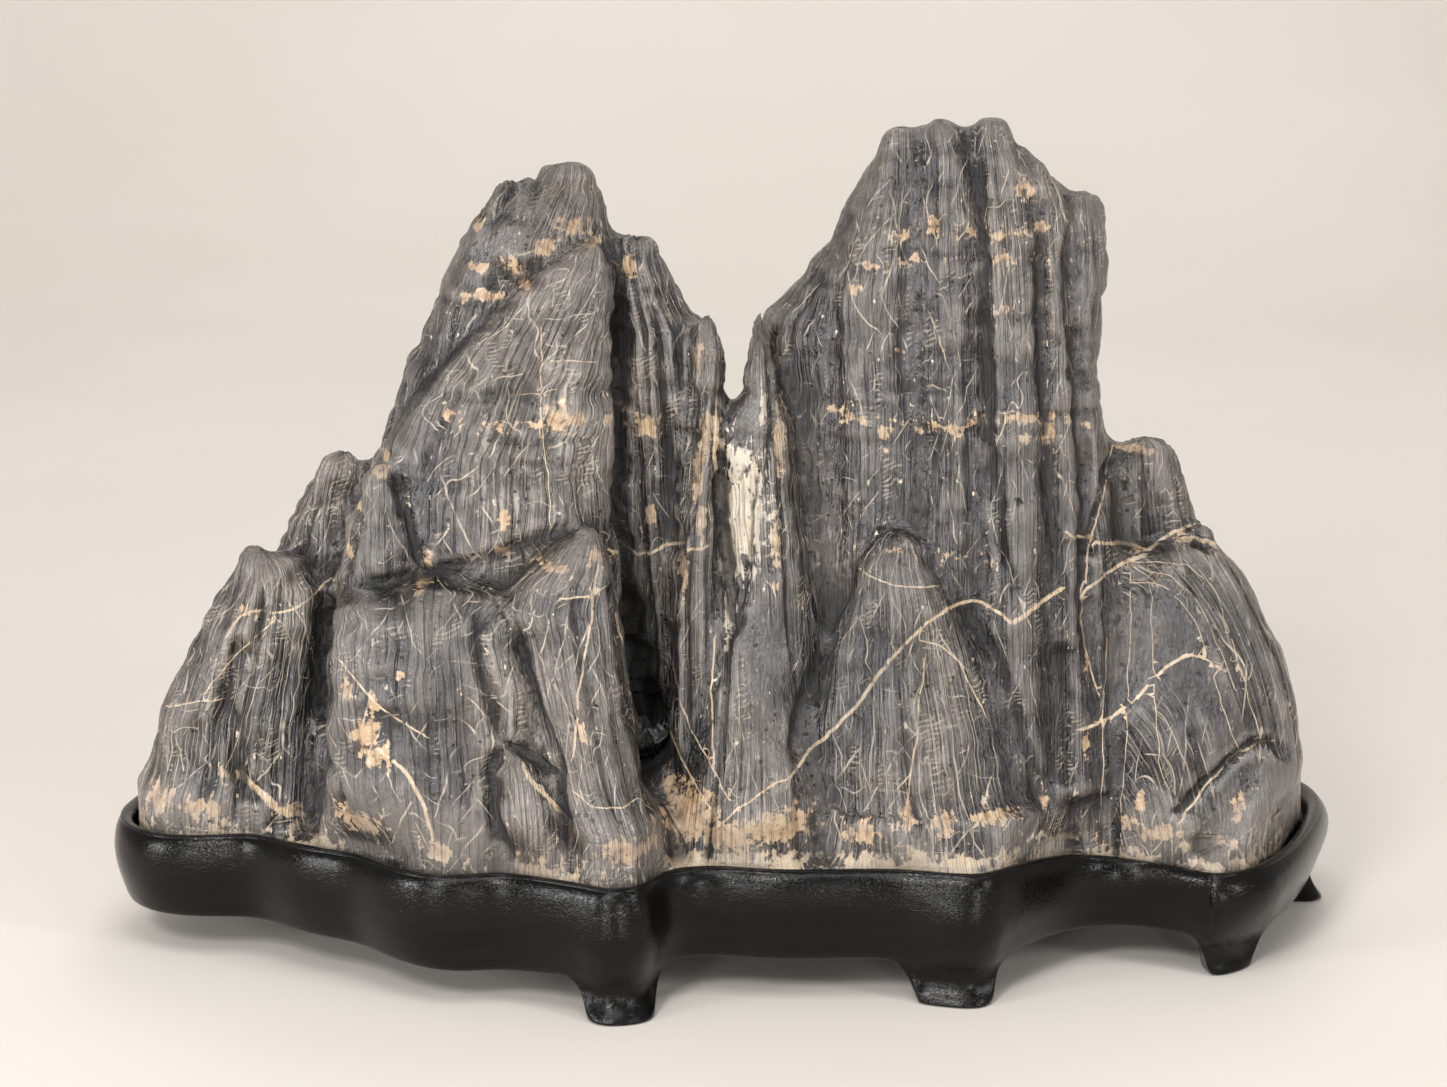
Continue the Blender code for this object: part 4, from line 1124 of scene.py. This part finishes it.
def grey_ground(place, grain, inside):
    """The grey colour, and the noises that make it, since the relief follows them too."""
    clouds = place.noise((38.0, 38.0, 60.0), 3.0)
    streaks = (grain.noise((2.6, 90.0, 1.0), 3.0, 0.55) - 0.5) * inside + 0.5
    upright = place.noise((1.1, 1.1, 38.0), 2.0, 0.6)
    strokes = inside * (grain.noise((0.95, 42.0, 1.0), 2.0, 0.6) - upright) + upright
    mottle = place.noise((5.0, 5.0, 8.0), 4.0, 0.6)
    grit = place.noise((0.8, 0.8, 1.2), 3.0, 0.7)
    tone = streaks * 1.0 + strokes * 1.8 + mottle * 1.5 + grit * 0.6 + clouds * 1.9 - 3.6
    ground = clouds.rise(0.4, 0.6).paint(COOL_GREY, WARM_GREY)
    ground = (tone.rise(0.0, 0.6) * 0.9).paint(ground, PALE_GREY)
    ground = (tone.rise(0.0, -0.5) * 0.95).paint(ground, DEEP_GREY)
    smoky = place.noise((15.0, 15.0, 30.0), 3.0, 0.6).rise(0.5, 0.7)
    return (smoky * 0.6).paint(ground, NEAR_BLACK_AND_SHADE), streaks, strokes, mottle, grit


print("the pale grey is", round(PALE_GREY[0] / DEEP_GREY[0]), "times as light as the deep one")


# %% [markdown]
# Over the grey lie thousands of pale hairlines, and dark cuts between them. Each set of lines is a
# row of threads: the way round the form is divided into even steps, a thread runs up the middle of
# each step, and noise makes it waver and breaks it up. The same threads on a turned place give the
# lines that cross the grain at a slant. Towards the border of a form the lines fade out.

# %% The hairlines, cuts and pits
HAIRLINE = colour(196, 182, 162)


def fine_lines(place, grain, lined, inside, strokes):
    """How strongly pale lines, painted glints, dark cuts and pits show, and which cuts go up."""
    # A jump in X tells the forms apart.
    way_round = grain.part("X") + grain.part("Z") * 1.7
    flow = grain.node("ShaderNodeCombineXYZ", (), {"X": way_round, "Y": grain.part("Y")})
    flow = flow.bent(30.0, 1.8)
    busy = (place.noise((16.0, 16.0, 30.0), 2.0) + lined * 0.3 - 0.15).rise(0.4, 0.66)
    patchy = place.noise((6.0, 6.0, 10.0), 2.0).rise(0.4, 0.58)
    hair = flow.threads(3.7, 0.36, 40.0, 0.4) * (0.12 + busy * 0.6)
    fine_hair = flow.threads(1.5, 0.26, 22.0, 0.5) * (0.05 + busy * 0.4)
    slant = flow.turned(34.0).threads(6.0, 0.45, 26.0, 0.5) * patchy * 0.9
    other_slant = flow.turned(-26.0).threads(7.0, 0.45, 30.0, 0.5) * (1.0 - patchy) * 0.85
    across = flow.turned(86.0).threads(8.0, 0.42, 10.0, 0.4) * patchy * 0.7
    lines = hair.high(fine_hair).high(slant).high(other_slant).high(across)
    # Painted highlight: the crests of small ripples across the grain, in patches, are painted pale
    # as glints.
    rumpled = (place.noise((9.0, 9.0, 16.0), 2.0) + strokes * 0.2).rise(0.66, 0.76)
    ripple_glints = flow.turned(77.0).threads(1.5, 0.5, 4.0, 0.7) * rumpled * inside
    upright_cuts = flow.threads(2.9, 0.45, 60.0, 0.75) * (0.5 + (1.0 - busy) * 0.5)
    level_cuts = flow.turned(84.0).threads(7.5, 0.45, 18.0, 0.3) * (1.0 - lined * 0.8)
    pits = place.shards((4.2, 4.2, 3.0)).rise(0.2, 0.1) * patchy
    lines = (lines * inside).high(ripple_glints * 0.5)
    cuts = upright_cuts.high(level_cuts) * inside
    return lines, cuts, upright_cuts * inside, pits, patchy


print("a hairline as light:", [round(part, 2) for part in HAIRLINE[:3]])


# %% [markdown]
# The stains were stored soft. Adding noise before the edge is drawn makes it ragged: where the sum
# passes a set level the stone is stained, and just beside it is bare. Tan also gathers in patches
# along the foot, where the stone stood in earth, and in scattered specks.

# %% The tan and white stains
TAN = colour(200, 170, 134)
DEEP_TAN = colour(160, 127, 94)
PALE_TAN = colour(226, 207, 180)
WHITE = colour(222, 209, 188)


def stained(ground, place, grain, lines, patchy):
    """The ground with its stains, and the noise that mottles the tan."""
    tan, white, foot_edge = kept(place, "tan", 2), kept(place, "white", 2), kept(place, "foot", 2)
    broken = place.noise((3.4, 3.4, 3.0), 3.0, 0.6) - 0.5
    streaked = grain.noise((1.6, 14.0, 1.0), 3.0, 0.6) - 0.5
    angular = grain.shards((4.0, 7.0, 1.0)) - 0.45
    ragged = broken * 2.2 + streaked * 1.6 - angular * 0.3
    tan_here = (tan + ragged).rise(0.48, 0.58)
    foot_patch = place.noise((20.0, 20.0, 60.0), 1.0).rise(0.36, 0.6)
    tan_foot = (foot_edge * (0.3 + foot_patch * 0.85) + ragged * 1.1).rise(0.56, 0.68)
    specks = (grain.noise((1.3, 4.0, 1.0), 4.0, 0.75) + tan * 0.2).rise(0.68, 0.72) * patchy
    tan_all = (tan_here * 0.92).high(tan_foot * 0.9).high(specks * 0.8)
    tan_shade = broken.rise(-0.14, 0.12).paint(DEEP_TAN, TAN)
    tan_shade = (lines * 0.6).high(foot_edge * 0.7).paint(tan_shade, PALE_TAN)
    ground = tan_all.paint(ground, tan_shade)
    white_here = (white + broken * 1.6 + streaked * 1.6 - angular * 0.4).rise(0.4, 0.56)
    return (white_here * 0.92).paint(ground, WHITE), broken


print("tan as light:", [round(part, 2) for part in TAN[:3]])


# %% [markdown]
# A vein has two distances. The signed one passes through zero in the middle of the seam, so it
# draws a line that is sharp even between two points of the skin. The plain one is small only near
# the seam, and ends the line where the signed one would run on. Last come painted shade in the
# hollows and painted light on the ridges, which lie over everything else. The relief is reckoned
# three times for each point of the picture, so it is made from the few patterns that can be felt.

# %% The dark limestone
MILLIMETRES = 1000.0  # in one metre


def limestone():
    """The stone's material."""
    material, shader, place = new_material("dark limestone")
    place = place.scaled(MILLIMETRES)
    grain, hollow = kept(place, "grain"), kept(place, "hollow")
    lined, inside = kept(place, "lined", 2), kept(place, "inside", 2)
    ground, streaks, strokes, mottle, grit = grey_ground(place, grain, inside)
    lines, cuts, upright_cuts, pits, patchy = fine_lines(place, grain, lined, inside, strokes)
    # Painted shade: the fine cuts and the pits, which the relief sinks too, are darkened.
    ground = (cuts * 0.5).high(pits * 0.8).paint(ground, NEAR_BLACK_AND_SHADE)
    ground = lines.paint(ground, HAIRLINE)
    ground, broken = stained(ground, place, grain, lines, patchy)

    waver = (place.noise((2.0, 2.0, 2.0), 2.0) - 0.5) * 2.6 * 0.6

    def seam_of(name, edge):
        """Where the seams that were stored under this name lie."""
        seam = kept(place, name)
        return abs(seam.part("X") + waver).rise(*edge) * seam.part("Y").rise(1.8, 1.2)

    vein = seam_of("vein", (1.5, 0.85)) * grain.noise((3.0, 5.0, 1.0), 2.0).rise(0.3, 0.42)
    ground = (vein * 0.95).paint(ground, broken.rise(-0.15, 0.2).paint(TAN, PALE_TAN))
    crack = seam_of("crack", (1.7, 0.8))
    ground = (crack * 0.85).paint(ground, NEAR_BLACK_AND_SHADE)

    deep = (hollow.part("X") * 2.0).high(hollow.part("Y") * 1.1).high(hollow.part("Z") * 0.36)
    proud = (hollow.part("X") * -3.4).high(hollow.part("Y") * -1.4).high(hollow.part("Z") * -0.5)
    # Painted shade: the creases and the wide valleys are darkened towards near black.
    ground = (deep.rise(0.1, 1.5) * 0.88).paint(ground, NEAR_BLACK_AND_SHADE)
    # Painted light: the ridges are lightened towards pale grey.
    ground = (proud.rise(0.1, 1.5) * 0.42).paint(ground, PALE_GREY)
    # Painted shade from the dark patches and the slot.
    ground = (kept(place, "shade", 2) * 0.42).paint(ground, NEAR_BLACK_AND_SHADE)

    feed(shader, "Base Color", ground)
    dull = 0.14 + mottle * 0.3 - streaks * 0.06 + deep.rise(0.2, 1.2) * 0.4
    feed(shader, "Roughness", dull)
    shader.inputs["Specular IOR Level"].default_value = 0.75
    ripple = grain.noise((1.3, 22.0, 1.0), 2.0)
    relief = (streaks * 1.0 + ripple * 0.4) * inside + strokes * 0.6 + mottle * 1.0 + grit * 0.2
    relief = relief - upright_cuts * 0.5 - pits * 0.5
    emboss(shader, relief, 1.0, 0.001)
    return material


def rim_height(x):
    """Height of the stand's rim, which sinks a little towards both ends."""
    return 46.0 - 2.5 * (1.0 - ease(x, -192.0, -130.0)) - 8.0 * ease(x, 85.0, 142.0)


above_rim = points[:, 2] - rim_height(points[:, 0])
keep_on_points(stone, "foot", np.exp(-np.clip(above_rim + 1.0, 0.0, 200.0) / 5.0))
stone.data.materials.clear()
stone.data.materials.append(limestone())
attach(stone, "root")
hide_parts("stone")
print("limestone:", len(stone.data.materials[0].node_tree.nodes), "nodes")


# %% [markdown]
# The stand is one block of hardwood, carved to the stone's outline and lacquered. Its shape is
# right in the solid, but its sections are few. The solid is copied, its triangles are paired into
# quads, and a Subdivision Surface rounds the wall and the feet between the sections. The edges
# round the seat are held by a crease, so that the hollow stays as wide as it is.

# %% The carved stand
WIDEST_PAIRING = math.radians(70)
SEAT_HOLD, SOLE_HOLD = 1.0, 0.45

stand = merged_copy("stand", "lacquered_stand")
bpy.ops.object.mode_set(mode="EDIT")
bpy.ops.mesh.select_all(action="SELECT")
bpy.ops.mesh.tris_convert_to_quads(face_threshold=WIDEST_PAIRING, shape_threshold=WIDEST_PAIRING)
bpy.ops.object.mode_set(mode="OBJECT")
heights = points_of(stand)[:, 2]
hold = stand.data.attributes.new("crease_edge", "FLOAT", "EDGE")
for edge in stand.data.edges:
    ends = heights[list(edge.vertices)]
    seat = all(abs(ends - SEAT_HEIGHT) < EVEN)
    sole = all(ends < EVEN)
    hold.data[edge.index].value = SEAT_HOLD if seat else SOLE_HOLD if sole else 0.0
finish_with(stand, "SUBSURF", "round it", levels=2, render_levels=2)
bpy.ops.object.shade_smooth()
print("stand:", len(stand.data.polygons), "faces")


# %% [markdown]
# The wall of the real stand swells a little below the rim, more so at the knee above each foot, and
# the feet are slim at the ankle and kick out at the toe. On smooth black lacquer such small curves
# make all the highlights. The points of the outer wall are moved along the way they face, level, so
# that the hollow for the stone stays as it is.

# %% Swell the wall, the knees and the toes
FEET = [(-32, -88), (77, -74), (172, -47), (206, 44), (100, 92), (-20, 90), (-118, 80), (-186, 45)]
FOOT_REACH = 17.0
SHOULDER_DEPTH, SHOULDER_DRAWN_IN = 13.0, 1.8
TOE_HEIGHT, TOE_KICK = 7.0, 2.4
WALL = (0.9, 28.0, 9.0)  # how far out, at which height, and how far up and down that reaches
KNEE = (1.8, 27.0, 8.0)
ANKLE = (-1.4, 11.0, 4.0)

points = points_of(stand)
level_facing = facing_of(stand)[:, :2]
level = np.hypot(*level_facing.T)
outer = (level_facing * points[:, :2]).sum(axis=1) > 0.0
height = points[:, 2]
from_feet = np.min([np.hypot(points[:, 0] - x, points[:, 1] - y) for x, y in FEET], axis=0)
at_foot = bell(from_feet, 0.0, FOOT_REACH)
below_rim = rim_height(points[:, 0]) - height
shoulder = np.clip(1.0 - below_rim / SHOULDER_DEPTH, 0.0, 1.0)
swelling = WALL[0] * bell(height, *WALL[1:]) - SHOULDER_DRAWN_IN * shoulder**2
for far, middle, reach in (KNEE, ANKLE):
    swelling += at_foot * far * bell(height, middle, reach)
swelling += at_foot * TOE_KICK * np.clip(1.0 - height / TOE_HEIGHT, 0.0, 1.0) ** 2
swelling *= ease(level, 0.35, 0.7) * outer
points[:, :2] += level_facing / np.maximum(level, 0.01)[:, None] * swelling[:, None]
set_points(stand, points)
print("swollen by", round(swelling.max(), 1), "mm, drawn in by", round(-swelling.min(), 1), "mm")


# %% [markdown]
# Black lacquer on carved wood is never quite flat: the tool marks and the brush leave a fine
# ripple, which the highlights show. The colour is nearly black, with a little of the brown wood in
# places where the lacquer is thin.

# %% The black lacquer
BLACK_LACQUER = colour(5, 5, 5)
BROWN_LACQUER = colour(17, 11, 9)


def lacquer():
    """The stand's material."""
    material, shader, place = new_material("black lacquer")
    place = place.scaled(MILLIMETRES)
    broad = place.noise((22.0, 22.0, 14.0), 2.0)
    ripple = place.noise((5.0, 5.0, 3.5), 2.0, 0.55)
    pores = place.noise((1.2, 1.2, 0.8), 2.0, 0.6, 1.5)
    wood = place.noise((30.0, 30.0, 6.0), 3.0).rise(0.45, 0.7)
    feed(shader, "Base Color", (wood * 0.6).paint(BLACK_LACQUER, BROWN_LACQUER))
    feed(shader, "Roughness", 0.08 + broad * 0.06 + pores * 0.05)
    shader.inputs["Specular IOR Level"].default_value = 0.26
    emboss(shader, ripple * 0.22 + pores * 0.22 + broad * 0.7, 0.7, 0.0008)
    return material


stand.data.materials.clear()
stand.data.materials.append(lacquer())
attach(stand, "root")
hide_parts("stand")
print("lacquer:", len(stand.data.materials[0].node_tree.nodes), "nodes")


# %% [markdown]
# The object stands on a plain pale floor that curves up into a backdrop, so no horizon shows. A
# plane is extruded step by step along a quarter circle, and its shading is smooth.

# %% The floor and the backdrop
FLOOR_WIDTH = 6.4
FLOOR_FRONT, SWEEP_START = -2.6, 1.1
SWEEP_RADIUS = 0.9
SWEEP_STEPS = 10
BACKDROP_TOP = 3.4

bpy.ops.object.select_all(action="DESELECT")
bpy.ops.mesh.primitive_plane_add(size=1.0, location=(0.0, (FLOOR_FRONT + SWEEP_START) / 2.0, 0.0))
floor = bpy.context.object
floor.name = "pale_floor"
floor.scale = (FLOOR_WIDTH, SWEEP_START - FLOOR_FRONT, 1.0)
bpy.ops.object.transform_apply(location=True, scale=True)
bpy.ops.object.mode_set(mode="EDIT")
bpy.ops.mesh.select_mode(type="EDGE")
bpy.ops.mesh.select_all(action="DESELECT")
bpy.ops.object.mode_set(mode="OBJECT")
for edge in floor.data.edges:
    edge.select = all(floor.data.vertices[end].co.y > SWEEP_START - 0.01 for end in edge.vertices)
bpy.ops.object.mode_set(mode="EDIT")
turn = math.radians(90.0 / SWEEP_STEPS)
for step in range(SWEEP_STEPS):
    low, high = step * turn, (step + 1) * turn
    reach = SWEEP_RADIUS * (math.sin(high) - math.sin(low))
    rise = SWEEP_RADIUS * (math.cos(low) - math.cos(high))
    bpy.ops.mesh.extrude_region_move(TRANSFORM_OT_translate={"value": (0.0, reach, rise)})
bpy.ops.mesh.extrude_region_move(
    TRANSFORM_OT_translate={"value": (0.0, 0.0, BACKDROP_TOP - SWEEP_RADIUS)}
)
bpy.ops.object.mode_set(mode="OBJECT")
bpy.ops.object.shade_smooth()
print("floor:", len(floor.data.polygons), "faces")


# %% [markdown]
# The floor's paper is warm and dull, with clouds so faint that they only keep it from looking flat.

# %% The paper on the floor
PAPER = colour(233, 227, 220)
PAPER_SHADE = colour(228, 221, 213)


def paper():
    """The floor's material."""
    material, shader, place = new_material("pale paper")
    clouds = place.noise((0.5, 0.5, 0.3), 3.0)
    feed(shader, "Base Color", clouds.rise(0.3, 0.7).paint(PAPER, PAPER_SHADE))
    shader.inputs["Roughness"].default_value = 0.9
    shader.inputs["Specular IOR Level"].default_value = 0.2
    return material


floor.data.materials.append(paper())
print("paper:", len(floor.data.materials[0].node_tree.nodes), "nodes")


# %% [markdown]
# The light is that of a studio. The main lamp stands at the upper left in front, and a large one
# above brightens the floor. Lacquer shows a lamp only where its surface mirrors it towards the
# camera, so small lamps stand low and to the sides, each where a knee of the stand looks at it. One
# behind draws a line of light on the ridges, and the world gives the rest.

# %% The lamps
MIDDLE = (0.0, 0.0, 0.12)
WHITE_LIGHT = (1.0, 1.0, 1.0)
MAIN_LIGHT = (1.0, 0.99, 0.975)
WORLD_LIGHT = (1.0, 0.985, 0.965, 1.0)
WORLD_STRENGTH = 0.4


def soft_lamp(name, place, size, power, aim=MIDDLE, tint=WHITE_LIGHT):
    """A lamp of this width and height at the place, turned to the aim."""
    data = bpy.data.lights.new(name, "AREA")
    data.shape = "RECTANGLE"
    data.size, data.size_y = size
    data.energy = power
    data.color = tint
    lamp = bpy.data.objects.new(name, data)
    bpy.context.scene.collection.objects.link(lamp)
    lamp.location = place
    lamp.rotation_euler = (Vector(aim) - Vector(place)).to_track_quat("-Z", "Y").to_euler()


soft_lamp("main lamp", (-0.5, -1.45, 1.15), (0.36, 0.36), 13.0, tint=MAIN_LIGHT)
soft_lamp("left low lamp", (-0.66, -1.6, 0.24), (0.22, 0.22), 4.2)
soft_lamp("middle low lamp", (0.52, -1.62, 0.24), (0.2, 0.2), 3.6)
soft_lamp("left side lamp", (-1.4, -0.88, 0.42), (0.35, 0.4), 10.0)
soft_lamp("right side lamp", (1.2, -0.95, 0.75), (0.15, 0.5), 5.0)
soft_lamp("ridge lamp", (0.3, 0.9, 1.5), (0.7, 0.7), 3.5)
soft_lamp("floor lamp", (0.0, -0.9, 1.7), (0.9, 0.9), 10.0, aim=(0.0, -0.6, 0.0))
soft_lamp("backdrop lamp", (0.0, 1.2, 1.6), (0.8, 0.8), 5.0, aim=(0.1, 2.0, 0.4))

world = bpy.data.worlds.new("studio")
world.use_nodes = True
background = world.node_tree.nodes["Background"]
background.inputs["Color"].default_value = WORLD_LIGHT
background.inputs["Strength"].default_value = WORLD_STRENGTH
bpy.context.scene.world = world
bpy.context.scene.view_settings.view_transform = "Standard"
print("lamps:", len(bpy.data.lights))


# %% [markdown]
# The camera looks at the middle of the object from a little above, through a long lens, so that the
# peaks don't lean and the stand doesn't bulge.

# %% The camera
VIEW_TARGET = Vector((-0.001, -0.009, 0.139))
VIEW_RISE = math.radians(14.0)
VIEW_DISTANCE = 1.3
SENSOR_WIDTH = 36.0
FOCAL_WIDTHS = 3945.0 / 1447.0  # the focal length, in widths of the picture

camera = bpy.data.objects.new("camera", bpy.data.cameras.new("camera"))
bpy.context.scene.collection.objects.link(camera)
view_from = Vector((0, -math.cos(VIEW_RISE), math.sin(VIEW_RISE)))
camera.location = VIEW_TARGET + VIEW_DISTANCE * view_from
camera.rotation_euler = (math.radians(90.0) - VIEW_RISE, 0.0, 0.0)
camera.data.sensor_width = SENSOR_WIDTH
camera.data.lens = FOCAL_WIDTHS * SENSOR_WIDTH
bpy.context.scene.camera = camera
print("lens:", round(camera.data.lens, 1), "mm")
